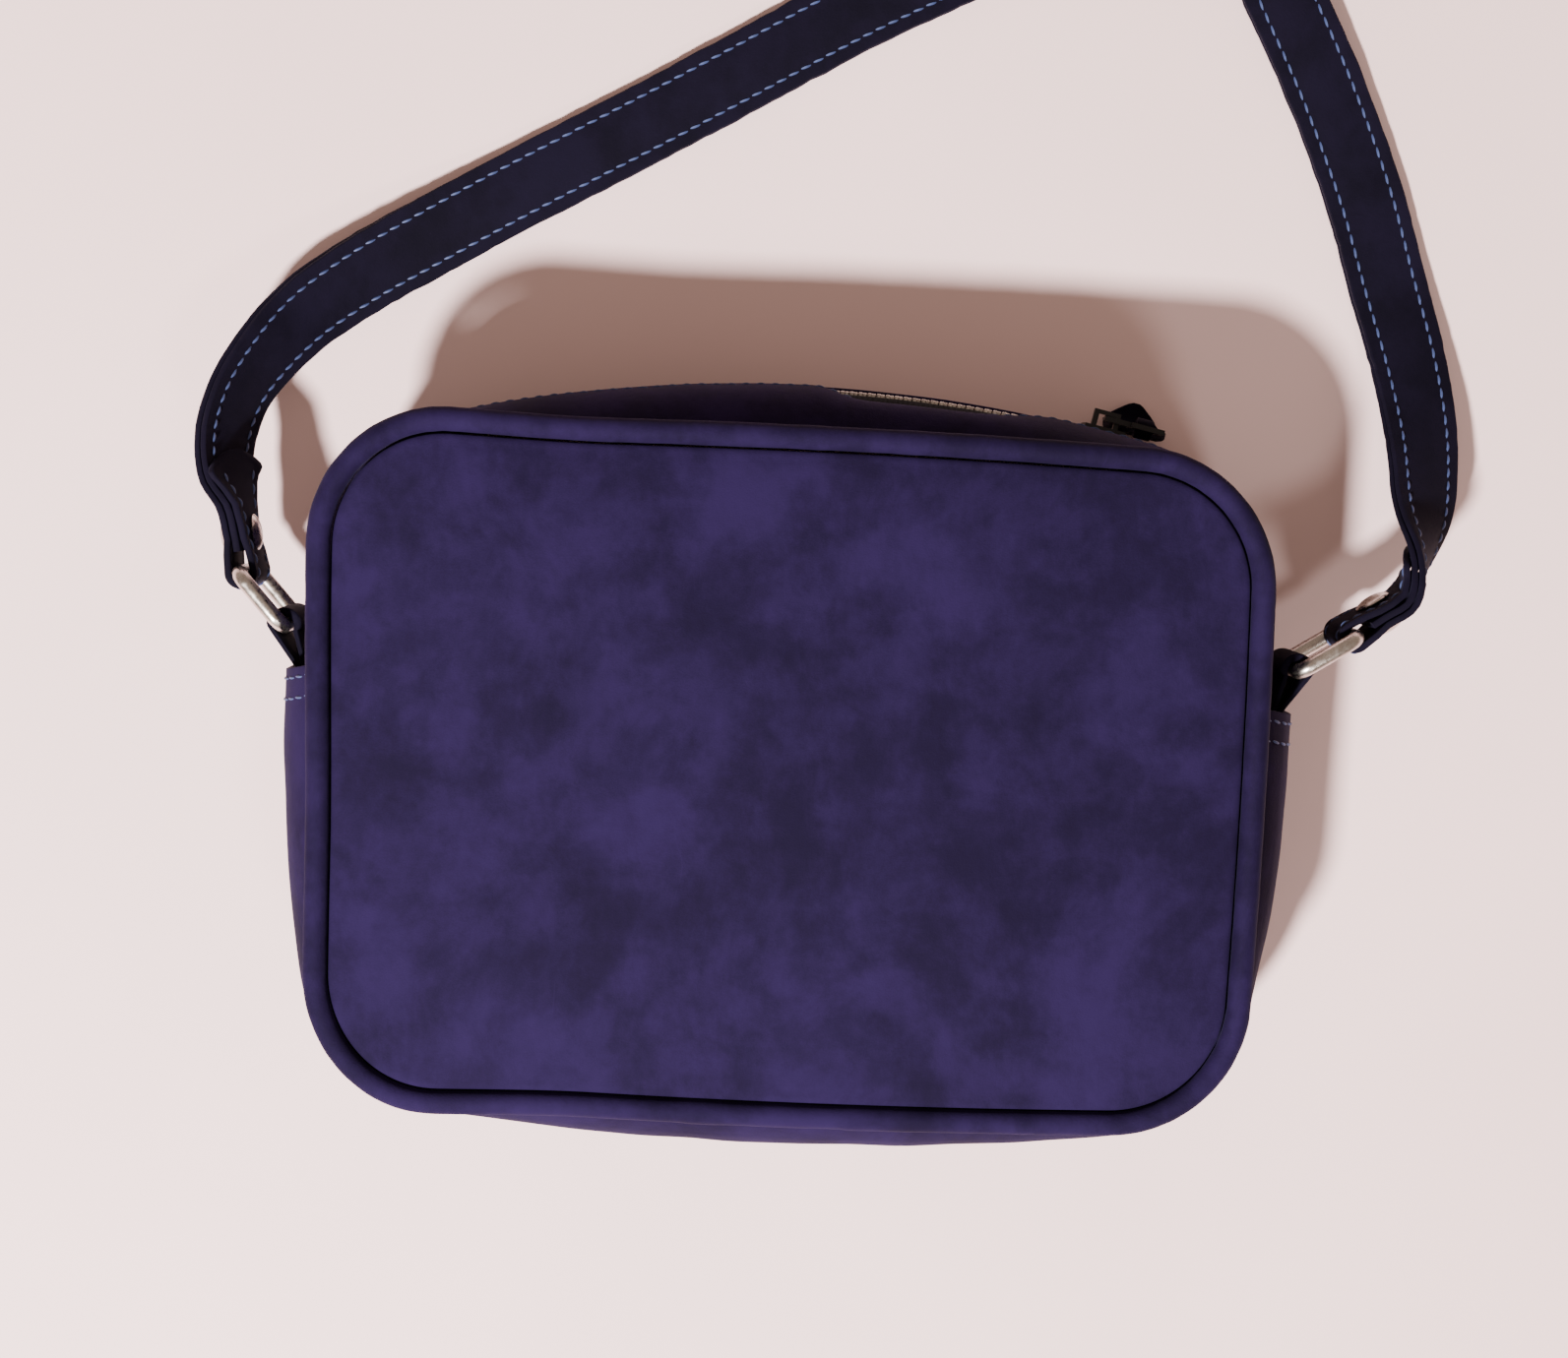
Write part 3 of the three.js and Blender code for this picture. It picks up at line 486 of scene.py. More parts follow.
class Body:
    """The bag's outlines and its bulging wall, worked out from its sizes."""

    def __init__(self, size):
        self.size = size
        self.middle = size.depth / 2
        self.section = self.middle - 2 * size.piping - 3 * GAP - 0.00005
        self.lower_half = size.panel_length + size.side_bulge
        self.upper_half = self.lower_half - size.gusset_leather - 0.0026 - 8 * GAP
        self.top_reach = size.panel_height + size.top_bulge
        self.top_bow = size.panel_length ** 2 / (2 * 0.01605)
        self.seam = Outline(
            size.panel_length, size.panel_height, size.panel_height,
            size.panel_bow, size.panel_bow, size.panel_bow, size.panel_corner,
        )
        self.upper = self.bulge(self.upper_half)
        self.lower = self.bulge(self.lower_half)

    def bulge(self, half):
        size = self.size
        return Outline(
            half, self.top_reach, size.panel_height + size.bottom_bulge, self.top_bow,
            size.panel_length ** 2 / (2 * 0.0091), size.panel_height ** 2 / (2 * 0.008), 0.038, 0.012,
        )

    def seam_point(self, place, offset=0.0):
        """The seam round the panels, spread a little at its left end and its top left."""
        p, size = self.seam.point(place, offset), self.size
        wider = 0.026 * ease(p.y, -0.3 * size.panel_height, 0.9 * size.panel_height)
        wider *= ease(-p.x, -0.4 * size.panel_length, 0.4 * size.panel_length)
        taller = 0.032 * ease(-p.x, 0.4 * size.panel_length, 0.95 * size.panel_length)
        return Vector((p.x * (1 + wider), p.y * (1 + taller), 0))

    def wall(self, arcs, place, across, depth):
        """A point of the wall: across runs from the front seam (-1) to the back seam (1)."""
        root = self.seam_point(place)
        out = arcs.point(place) - root
        reach = out.length
        slope = -reach * 0.86 * 3.5 * math.copysign(abs(across) ** 2.5, across)
        size = math.hypot(slope, self.section)
        bulge = reach * (0.14 + 0.86 * (1 - abs(across) ** 3.5))
        p = root + out.normalized() * (bulge - depth * self.section / size)
        p.z = self.middle + across * self.section + depth * slope / size
        return p

    def sheet(self, arcs, places, edges, outside, thick, dent, steps=14):
        """Sections of a wall sheet with rounded edges; dent(point) pushes it inwards."""
        sections = []
        for place in places:
            a, b = edges(place)
            turn = math.copysign(thick / 2 / self.section, b - a)
            rows = [(t, 0.0) for t in ramp(a + turn, b - turn, steps)]
            for k in range(1, STRIP_TURNS):
                angle = math.pi * k / STRIP_TURNS
                rows.append((b - turn + turn * math.sin(angle), thick / 2 * (1 - math.cos(angle))))
            rows += [(t, thick) for t in ramp(b - turn, a + turn, steps // 2)]
            for k in range(1, STRIP_TURNS):
                angle = math.pi * k / STRIP_TURNS
                rows.append((a + turn - turn * math.sin(angle), thick / 2 * (1 + math.cos(angle))))
            section = []
            for t, d in rows:
                p = self.wall(arcs, place, t, outside)
                section.append(self.wall(arcs, place, t, outside + d + dent(p, t)))
            sections.append(section)
        return sections


def body_now():
    return Body(bpy.context.scene.bag_sizes)


def soft_dents(amount, scale):
    def dent(p, across):
        q = p * scale
        wave = noise.noise(q) + 0.5 * noise.noise(q * 2.3 + Vector((3, 7, 1)))
        return amount * (0.6 + wave) * (1 - abs(across) ** 3)

    return dent


# ---------- operators ----------
class BAG_OT_panels(bpy.types.Operator):
    """Make the back and front panels, softly puffed and turned down into their seams"""

    bl_idname = "bag.panels"
    bl_label = "Panels"

    def execute(self, context):
        size, body = context.scene.bag_sizes, body_now()
        rounds = [0.08, 0.2, 0.32, 0.44, 0.55, 0.65, 0.74, 0.82, 0.88, 0.925, 0.955]
        insets = [0.003, 0.0018, 0.0011, 0.0006, 0.0003]
        turn_down = 0.0016
        places = ramp(0, 8, 224)[:-1]

        def face(outer, crown, waves):
            rings = []
            for share in rounds:
                rings.append([(self.inside(body, place, share), share) for place in places])
            for inset in insets:
                rings.append([(body.seam_point(place, -inset), 1 - inset / 0.09) for place in places])
            sections = []
            for n, points in enumerate(rings):
                inset = insets[n - len(rounds)] if n >= len(rounds) else turn_down
                drop = max(0.0, 1 - inset / turn_down)
                fall = 0.0011 * (1 - math.sqrt(max(0.0, 1 - drop * drop)))
                section = []
                for p, share in points:
                    swell = noise.noise(p * 18) + 0.6 * noise.noise(p * 41 + Vector((5, 1, 2)))
                    z = outer + crown * (1 - share * share) - fall
                    z += waves * swell * (1 - share ** 6)
                    section.append(Vector((p.x, p.y, z)))
                sections.append(section)
            return sections

        back_face = size.depth - size.piping + 0.0008
        for name, outer, thick, crown, waves in (
            ("back_panel", back_face, -size.panel_leather, size.crown, 0.00042),
            ("front_panel", 0.0, size.panel_leather, 0.0, 0.0),
        ):
            shape = Shape("nubuck")
            outside = face(outer, crown, waves)
            if thick > 0:
                outside = [[Vector((p.x, p.y, 2 * outer - p.z)) for p in s] for s in outside]
            inside = [[p + Vector((0, 0, thick * 0.8)) for p in outside[n]] for n in (-1, 8, 4, 0)]
            shape.loft([*outside, *inside], caps=True)
            shape.build(f"{name}_leather", nodes=[name], smooth=60)
        return {"FINISHED"}

    @staticmethod
    def inside(body, place, share):
        """A point of a ring that rounds off towards the middle of the panel."""
        edge = body.seam_point(place)
        oval = Vector((edge.x, edge.y, 0))
        return oval * share


class BAG_OT_piping(bpy.types.Operator):
    """Make the two covered cords that edge the panels"""

    bl_idname = "bag.piping"
    bl_label = "Piping"

    def execute(self, context):
        size, body = context.scene.bag_sizes, body_now()
        heights = {"back_piping": size.depth - size.piping, "front_piping": size.piping + GAP}
        for name, z in heights.items():
            shape = Shape("nubuck")
            sections = []
            for place in ramp(0, 8, 640)[:-1]:
                middle = body.seam_point(place, size.piping)
                out = (middle - body.seam_point(place)).normalized()
                # the cover's two overlapped joins, either side of the middle of the bottom
                joins = sum(ease(place, j, j + 0.012) - ease(place, j + 0.012, j + 0.2) for j in (6.36, 6.6))
                lump = 0.00008 * noise.noise(middle * 160) + 0.00006 * noise.noise(middle * 420)
                radius = size.piping - 0.00012 + lump + 0.00016 * joins
                turns = [2 * math.pi * k / 20 for k in range(20)]
                sections.append([
                    middle + out * (radius * math.cos(a)) + Vector((0, 0, z + radius * math.sin(a)))
                    for a in turns
                ])
            shape.loft(sections, ring=True)
            shape.build(f"{name}_cord", nodes=[name], smooth=60)
        return {"FINISHED"}


def slump(show, half):
    """The back half of the zipped top sags off the teeth towards one end."""

    def dent(p, across):
        lean = ease(p.x, 0.002, 0.016) * (1 - ease(p.x, 0.45 * half, 0.75 * half))
        return show * lean * (1 - ease(across, 0.22, 0.8)) if across > 0 else 0.0

    return dent


class BAG_OT_gussets(bpy.types.Operator):
    """Make the lower gusset with its stitched folds, and the two halves of the zipped top"""

    bl_idname = "bag.gussets"
    bl_label = "Gussets"

    def execute(self, context):
        size, body = context.scene.bag_sizes, body_now()
        strap, zipper = context.scene.strap_sizes, context.scene.zip_sizes
        soft = soft_dents(0.0005, 34)
        shape = Shape("nubuck", "thread")
        start = 5 - body.lower.side_place(size.fold_height)
        places = [*ramp(start, 5, 26)[:-1], *ramp(5, 8, 132), *[13 - u for u in ramp(5, start, 26)[1:]]]
        leather = size.gusset_leather
        full = lambda place: (-1, 1)
        shape.loft(body.sheet(body.lower, places, full, 0.0, leather, soft))
        for side in (0, 1):
            for below in (0.0023, 0.0072):
                place = body.lower.side_place(size.fold_height - below)
                place = 5 - place if side else place
                line = []
                for t in ramp(-0.93, 0.93, 60):
                    p = body.wall(body.lower, place, t, 0.0)
                    d = soft(p, t)
                    p, q = (body.wall(body.lower, place, t, depth) for depth in (d, d + 0.001))
                    line.append((p, (p - q).normalized()))
                shape.stitches(line, strap.pitch, strap.thread * 0.9)
        shape.build("lower_gusset_leather", nodes=["lower_gusset"])

        slot_end = zipper.half + 0.006
        above = body.upper.side_place(size.fold_height - 0.0145)
        right = ramp(above, 1, 18)[:-1]
        places = [*right, *ramp(1, 2, 26), *ramp(2, 3, 110)[1:], *ramp(3, 4, 26)[1:], *[5 - u for u in right[::-1]]]
        sag = slump(zipper.show, zipper.half)

        def dent(p, t):
            edge = ease(abs(t), 0.15, 0.4)
            return soft(p, t) * edge + sag(p, t)

        for name, side in (("back", 1), ("front", -1)):

            def edges(place, side=side):
                p = body.upper.point(place)
                share = 0.76 + 0.24 * ease(p.y, size.fold_height + 0.001, size.fold_height + 0.006)
                gap = zipper.slot + (GAP / 2 - zipper.slot) * ease(abs(p.x), slot_end, slot_end + 0.008)
                return side * gap / body.section, side * share

            shape = Shape("nubuck", "thread")
            shape.loft(body.sheet(body.upper, places, edges, 0.0, leather, dent))
            line = []
            t = side * (zipper.slot + 0.003) / body.section
            reach = slot_end + 0.002
            for place in ramp(body.upper.top_place(reach), body.upper.top_place(-reach), 160):
                p = body.wall(body.upper, place, t, 0.0)
                d = dent(p, t)
                p, q = (body.wall(body.upper, place, t, depth) for depth in (d, d + 0.001))
                line.append((p, (p - q).normalized()))
            shape.stitches(line, strap.pitch, strap.thread * 0.8)
            shape.build(f"zip_gusset_leather_{name}", nodes=[f"zip_gusset_{name}"])
        return {"FINISHED"}


class BAG_OT_zip(bpy.types.Operator):
    """Make the zip's tapes and its two rows of teeth"""

    bl_idname = "bag.zip"
    bl_label = "Zip"

    def execute(self, context):
        size, body, zipper = context.scene.bag_sizes, body_now(), context.scene.zip_sizes
        depth = size.gusset_leather + GAP
        radius = body.top_bow - depth - 0.00035
        centre = body.top_reach - body.top_bow
        sag = slump(zipper.show, zipper.half)

        def dent(p, t):
            return sag(p, t) * ease(abs(t) * body.section, 0.0028, 0.0052)

        reach = zipper.half + 0.004
        places = ramp(body.upper.top_place(reach), body.upper.top_place(-reach), 120)
        for name, side in (("back", 1), ("front", -1)):
            shape = Shape("tape")
            edges = lambda place, side=side: (side * 0.0012 / body.section, side * 0.011 / body.section)
            shape.loft(body.sheet(body.upper, places, edges, depth, 0.0007, dent))
            shape.build(f"zip_tape_{name}", nodes=[f"zipper_tape_{name}"])

        # One tooth: a bevelled block, made once and repeated along the arc.
        for name, side in (("back", 1), ("front", -1)):
            bpy.ops.mesh.primitive_cube_add(size=1)
            block = bpy.context.object
            bpy.ops.object.mode_set(mode="EDIT")
            bpy.ops.transform.resize(value=(zipper.pitch * 0.46, zipper.tooth, 0.0025))
            bpy.ops.transform.translate(value=(0, 0, side * 0.00147))
            bpy.ops.mesh.bevel(offset=0.00022, segments=1, affect="EDGES")
            bpy.ops.object.mode_set(mode="OBJECT")
            tooth = block.data
            points = [v.co.copy() for v in tooth.vertices]
            polygons = [list(f.vertices) for f in tooth.polygons]
            bpy.data.objects.remove(block)
            shape = Shape("nickel")
            count = int(2 * zipper.half / zipper.pitch)
            for k in range(count):
                along = -zipper.half + (k + (0.5 if side > 0 else 1.0)) * zipper.pitch
                angle = along / body.top_bow
                turn = Matrix.Rotation(-angle, 3, "Z")
                foot = Vector((radius * math.sin(angle), centre + radius * math.cos(angle), body.middle))
                first = len(shape.points)
                shape.points.extend(foot + turn @ p for p in points)
                for polygon in polygons:
                    shape.faces.append([first + i for i in polygon])
                    shape.uvs.append([(points[i].x, points[i].y) for i in polygon])
                    shape.slots.append(0)
            shape.build(f"zip_teeth_{name}", nodes=[f"zipper_teeth_{name}"], smooth=30)
        return {"FINISHED"}


class BAG_OT_hardware(bpy.types.Operator):
    """Finish the slider, pull tab, stops and lining in their own materials"""

    bl_idname = "bag.hardware"
    bl_label = "Slider, stops and lining"

    def execute(self, context):
        for name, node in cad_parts.items():
            if name in ("zipper_slider", "pull_tab"):
                look = "black"
            elif name.startswith("lining"):
                look = "lining"
            elif name.startswith(("top_stop", "bottom_stop")):
                look = "nickel"
            else:
                continue
            node.data.materials.clear()
            node.data.materials.append(finish_of(look))
            if look != "lining":
                chosen(node)
                bpy.ops.object.modifier_add(type="BEVEL")
                node.modifiers[-1].width = 0.00028
                node.modifiers[-1].segments = 2
                node.modifiers[-1].limit_method = "ANGLE"
        return {"FINISHED"}


class BAG_OT_puller(bpy.types.Operator):
    """Make the zip's pointed leather puller"""

    bl_idname = "bag.puller"
    bl_label = "Leather puller"

    def execute(self, context):
        body = body_now()
        arc = (context.scene.zip_sizes.half - 0.008) / body.top_bow
        chain = body.top_bow - 0.00215
        foot = Vector((chain * math.sin(arc), body.top_reach - body.top_bow + chain * math.cos(arc), body.middle))
        turn = Matrix.Rotation(-arc, 3, "Z")
        thick, half, bend, pivot, x = 0.0024, 0.007, 0.0034, 0.0051, 0.00975
        loop_z = -0.0042
        floor = thick / 2 + 0.0004 - body.middle
        shape = Shape("strap", "thread")

        neck = []
        for angle in ramp(0, 2 * math.pi, 28)[:-1]:
            out = Vector((0, math.cos(angle), math.sin(angle)))
            middle = Vector((x, pivot, loop_z)) + out * 0.0019
            across = Vector((1, 0, 0))
            corners = [(-0.002, -0.0005), (-0.0017, -0.0006), (0.0017, -0.0006), (0.002, -0.0005),
                       (0.002, 0.0005), (0.0017, 0.0006), (-0.0017, 0.0006), (-0.002, 0.0005)]
            neck.append([foot + turn @ (middle + across * a + out * b) for a, b in corners])
        shape.loft(neck, ring=True)

        line = []
        top = loop_z - 0.0015
        for drop, width in ((0, 0.002), (0.003, 0.0021), (0.0045, 0.0034), (0.006, 0.0055), (0.0075, 0.0068),
                            (0.0095, half), (0.0125, half), (0.0155, half)):
            line.append((pivot, top - drop, 0.0, width))
        for lean in ramp(0, 90, 8):
            a = math.radians(lean)
            width = half * (1 - 0.22 * ease(lean, 50, 90))
            line.append((pivot + bend * (1 - math.cos(a)), floor + bend * (1 - math.sin(a)), a, width))
        for out, width in ((0.0011, 0.0042), (0.0022, 0.0028), (0.003, 0.0017), (0.0034, 0.0008)):
            line.append((pivot + bend + out, floor, math.pi / 2, width))
        sections = []
        for out, z, lean, width in line:
            middle = Vector((x, out, z))
            face = Vector((0, math.cos(lean), math.sin(lean)))
            corners = [(-1, -0.6), (-0.93, -1), (-0.5, -1.02), (0, -1.02), (0.5, -1.02), (0.93, -1), (1, -0.6),
                       (1, 0.6), (0.93, 1), (0.5, 1.02), (0, 1.02), (-0.5, 1.02), (-0.93, 1), (-1, 0.6)]
            section = []
            for a, b in corners:
                p = middle + Vector((width * a, 0, 0)) + face * (b * thick / 2)
                section.append(foot + turn @ p)
            sections.append(section)
        shape.loft(sections)
        for side in (-1, 1):
            row = []
            for drop in ramp(0.0085, 0.0205, 24):
                p = Vector((x + side * (half - 0.0018), pivot + thick / 2 + 0.00003, top - drop))
                row.append((foot + turn @ p, turn @ Vector((0, 1, 0))))
            shape.stitches(row, 0.0028, 0.00026)
        shape.build("leather_puller_strip", body="puller", nodes=["leather_puller"])
        return {"FINISHED"}


RING_ANGLES = {"left": 132.0, "right": 33.0}
RING_REACH = 0.0158
RING_SPAN = 0.0215


def ring_bar(side):
    body = body_now()
    return Vector((side * (body.lower_half - 0.0001), body.size.fold_height + 0.0105, body.middle))


class BAG_OT_rings(bpy.types.Operator):
    """Make the two rings from round wire, and the leather tabs that hold them"""

    bl_idname = "bag.rings"
    bl_label = "Rings and tabs"

    def execute(self, context):
        wire = context.scene.strap_sizes.wire
        body = body_now()
        fold = body.size.fold_height
        for name, side in (("left", -1), ("right", 1)):
            bar = ring_bar(side)
            # the wire: a rounded rectangle drawn as a plane, hollowed and given thickness
            bpy.ops.mesh.primitive_plane_add(size=1)
            ring = bpy.context.object
            ring.name = f"strap_ring_wire_{name}"
            bpy.ops.object.mode_set(mode="EDIT")
            bpy.ops.transform.resize(value=(RING_REACH, RING_SPAN + 2 * wire, 1))
            bpy.ops.mesh.bevel(offset=0.0032, segments=8, affect="VERTICES")
            bpy.ops.mesh.delete(type="ONLY_FACE")
            bpy.ops.object.mode_set(mode="OBJECT")
            bpy.ops.object.convert(target="CURVE")
            ring.data.bevel_depth = wire
            ring.data.bevel_resolution = 6
            bpy.ops.object.convert(target="MESH")
            ring = bpy.context.object
            angle = math.radians(RING_ANGLES[name])
            stand = Matrix.Rotation(angle, 4, "Z") @ Matrix.Rotation(math.pi / 2, 4, "X")
            ring.data.transform(Matrix.Translation(bar) @ stand @ Matrix.Translation((RING_REACH / 2, 0, 0)))
            ring.data.materials.clear()
            ring.data.materials.append(finish_of("nickel"))
            settled(ring, f"ring_{name}", 60, [f"strap_ring_{name}"])

            # the tab: one strip from the stem, round the bar and back down
            bore, leather, stem = wire + GAP, 0.0019, 0.0013
            stem_in = body.upper_half + GAP
            line = [(Vector((stem_in + 1.5 * stem, y, 0)), stem) for y in ramp(fold - 0.0125, fold, 8)]
            for degrees in ramp(-22, 202, 26):
                a = math.radians(degrees)
                blend = ease(degrees, -22, 10) * (1 - ease(degrees, 170, 202))
                thick = stem + (leather - stem) * blend
                reach = bore + thick / 2 + 0.0001
                line.append((Vector((abs(bar.x) + reach * math.cos(a), bar.y + reach * math.sin(a), 0)), thick))
            line += [(Vector((stem_in + 0.5 * stem, y, 0)), stem) for y in ramp(fold, fold - 0.0125, 8)]
            sections = []
            for i, (p, thick) in enumerate(line):
                run = (line[min(i + 1, len(line) - 1)][0] - line[max(i - 1, 0)][0]).normalized()
                face = Vector((run.y, -run.x, 0))
                half, t = 0.0099, thick / 2 - 0.00005
                fuzz = 0.00012 * noise.noise(p * 700 + Vector((0, 0, side)))
                corners = [(-half - fuzz, 0.6 * t), (-half - fuzz, -0.6 * t), (0.0003 - half, -t), (-0.004, -t),
                           (0.004, -t), (half - 0.0003, -t), (half + fuzz, -0.6 * t), (half + fuzz, 0.6 * t),
                           (half - 0.0003, t), (0.004, t), (-0.004, t), (0.0003 - half, t)]
                section = []
                for z, f in corners:
                    q = p + face * f
                    section.append(Vector((side * q.x, q.y, body.middle + z)))
                sections.append(section)
            shape = Shape("strap")
            shape.loft(sections)
            shape.build(f"ring_tab_leather_{name}", nodes=[f"ring_tab_{name}"])
        return {"FINISHED"}


# ---------- strap ----------
# The strap's route from the left ring to the right ring, in metres: x, y, lift off the
# table, and the roll of its outer face in degrees (0 is face up, 90 leans to the right).
ROUTE = [
    (-0.1362, 0.0635, 0.0188, 248), (-0.137, 0.073, 0.0154, 240), (-0.1348, 0.0832, 0.0112, 235),
    (-0.1294, 0.093, 0.0072, 226), (-0.1212, 0.103, 0.004, 213), (-0.1082, 0.1133, 0.0018, 202),
    (-0.092, 0.1236, 0.0006, 192), (-0.0748, 0.134, 0.0001, 185), (-0.0564, 0.1446, 0, 181),
    (-0.0384, 0.1549, 0, 180), (-0.0205, 0.1654, 0, 180), (0.0136, 0.1854, 0, 180),
    (0.054, 0.2056, 0, 180), (0.0949, 0.2253, 0, 178), (0.13, 0.242, 0, 160),
    (0.1625, 0.258, 0, 130), (0.193, 0.287, 0, 100), (0.2065, 0.33, 0, 90), (0.191, 0.379, 0, 90),
    (0.1484, 0.4065, 0, 90), (0.1003, 0.404, 0, 86), (0.063, 0.374, 0, 74), (0.049, 0.33, 0, 50),
    (0.056, 0.291, 0.0006, 22), (0.074, 0.2605, 0.0036, 6), (0.0949, 0.2253, 0.0054, 0),
    (0.1126, 0.192, 0.0028, 0), (0.1246, 0.17, 0.0008, 0), (0.136, 0.1442, 0, -2),
    (0.1429, 0.123, 0.0004, -6), (0.1486, 0.104, 0.0024, -12), (0.1516, 0.086, 0.007, -21),
    (0.1514, 0.07, 0.013, -33), (0.1499, 0.0562, 0.0175, -70),
]
PLY = 0.0019


class StrapEnd:
    """Where the strap turns round a ring's far bar."""

    def __init__(self, side, angle, heading):
        self.side = side
        a, h = math.radians(angle), math.radians(heading)
        self.bar = ring_bar(side) + Vector((RING_REACH * math.cos(a), RING_REACH * math.sin(a), 0))
        self.run = Vector((math.cos(h), math.sin(h), 0))
        self.away = Vector((self.run.y, -self.run.x, 0)) * side

    def at(self, along, out):
        return self.bar + self.run * along + self.away * out


def spline(rows, share, even):
    """A point of the curve through rows; even spaces its steps by index, not by distance."""
    last = len(rows) - 1
    p = min(max(share, 0.0), 1.0) * last
    i = min(int(p), last - 1)
    w = p - i
    b, c = rows[i], rows[i + 1]
    a = rows[i - 1] if i else 2 * b - c
    d = rows[i + 2] if i + 2 <= last else 2 * c - b
    if even:
        t1, t2 = (c - a) / 2, (d - b) / 2
    else:
        d0, d1, d2 = (max(math.sqrt((q - r).length), 1e-6) for q, r in ((b, a), (c, b), (d, c)))
        t1 = ((b - a) / d0 - (c - a) / (d0 + d1) + (c - b) / d1) * d1
        t2 = ((c - b) / d1 - (d - b) / (d1 + d2) + (d - c) / d2) * d1
    return b + t1 * w + (-3 * b + 3 * c - 2 * t1 - t2) * w ** 2 + (2 * b - 2 * c + t1 + t2) * w ** 3


class StrapRun:
    """The strap's lie on the table, with its stations found by distance."""

    def __init__(self, width):
        self.width = width
        self.left = StrapEnd(-1, RING_ANGLES["left"], 101)
        self.right = StrapEnd(1, RING_ANGLES["right"], 36)
        lift = body_now().middle - width / 2 - GAP
        rows = [(*self.end_row(self.left, d), lift, roll) for d, roll in ((0.008, 270), (0.016, 266))]
        rows += ROUTE
        rows += [(*self.end_row(self.right, d), lift, roll) for d, roll in ((0.016, -88), (0.008, -90))]
        self.places = [Vector(row[:3]) for row in rows]
        self.rolls = [Vector((row[3] / 100, 0, 0)) for row in rows]
        self.shares = ramp(0, 1, 4000)
        self.lengths = [0.0]
        points = [spline(self.places, s, False) for s in self.shares]
        for p, q in zip(points, points[1:]):
            self.lengths.append(self.lengths[-1] + (q - p).length)
        self.total = self.lengths[-1]

    @staticmethod
    def end_row(end, along):
        p = end.at(along, PLY / 2)
        return p.x, p.y

    def station(self, distance):
        """(point, face, wide) at a distance from the first station."""
        low, high = 0, len(self.lengths) - 1
        while high - low > 1:
            i = (low + high) // 2
            low, high = (i, high) if self.lengths[i] <= distance else (low, i)
        step = self.lengths[high] - self.lengths[low]
        share = self.shares[low] + (distance - self.lengths[low]) / step * (self.shares[1] - self.shares[0])
        p = spline(self.places, share, False)
        run = spline(self.places, share + 1e-4, False) - spline(self.places, share - 1e-4, False)
        run.z = 0
        run.normalize()
        roll = math.radians(100 * spline(self.rolls, share, True).x)
        face = Vector((run.y, -run.x, 0)) * math.sin(roll) + Vector((0, 0, math.cos(roll)))
        wide = run.cross(face)
        p.z = max(p.z, 0) + abs(math.sin(roll)) * self.width / 2 + abs(math.cos(roll)) * PLY + GAP
        return p, face, wide


TIP = [(0.022, 0.1), (0.0213, 0.36), (0.0203, 0.62), (0.019, 0.86), (0.0176, 1.05), (0.0165, 1.12),
       (0.0152, 1.1), (0.0138, 1.03), (0.012, 1.0), (0.008, 1.0), (0.003, 1.0), (0.0, 1.0)]


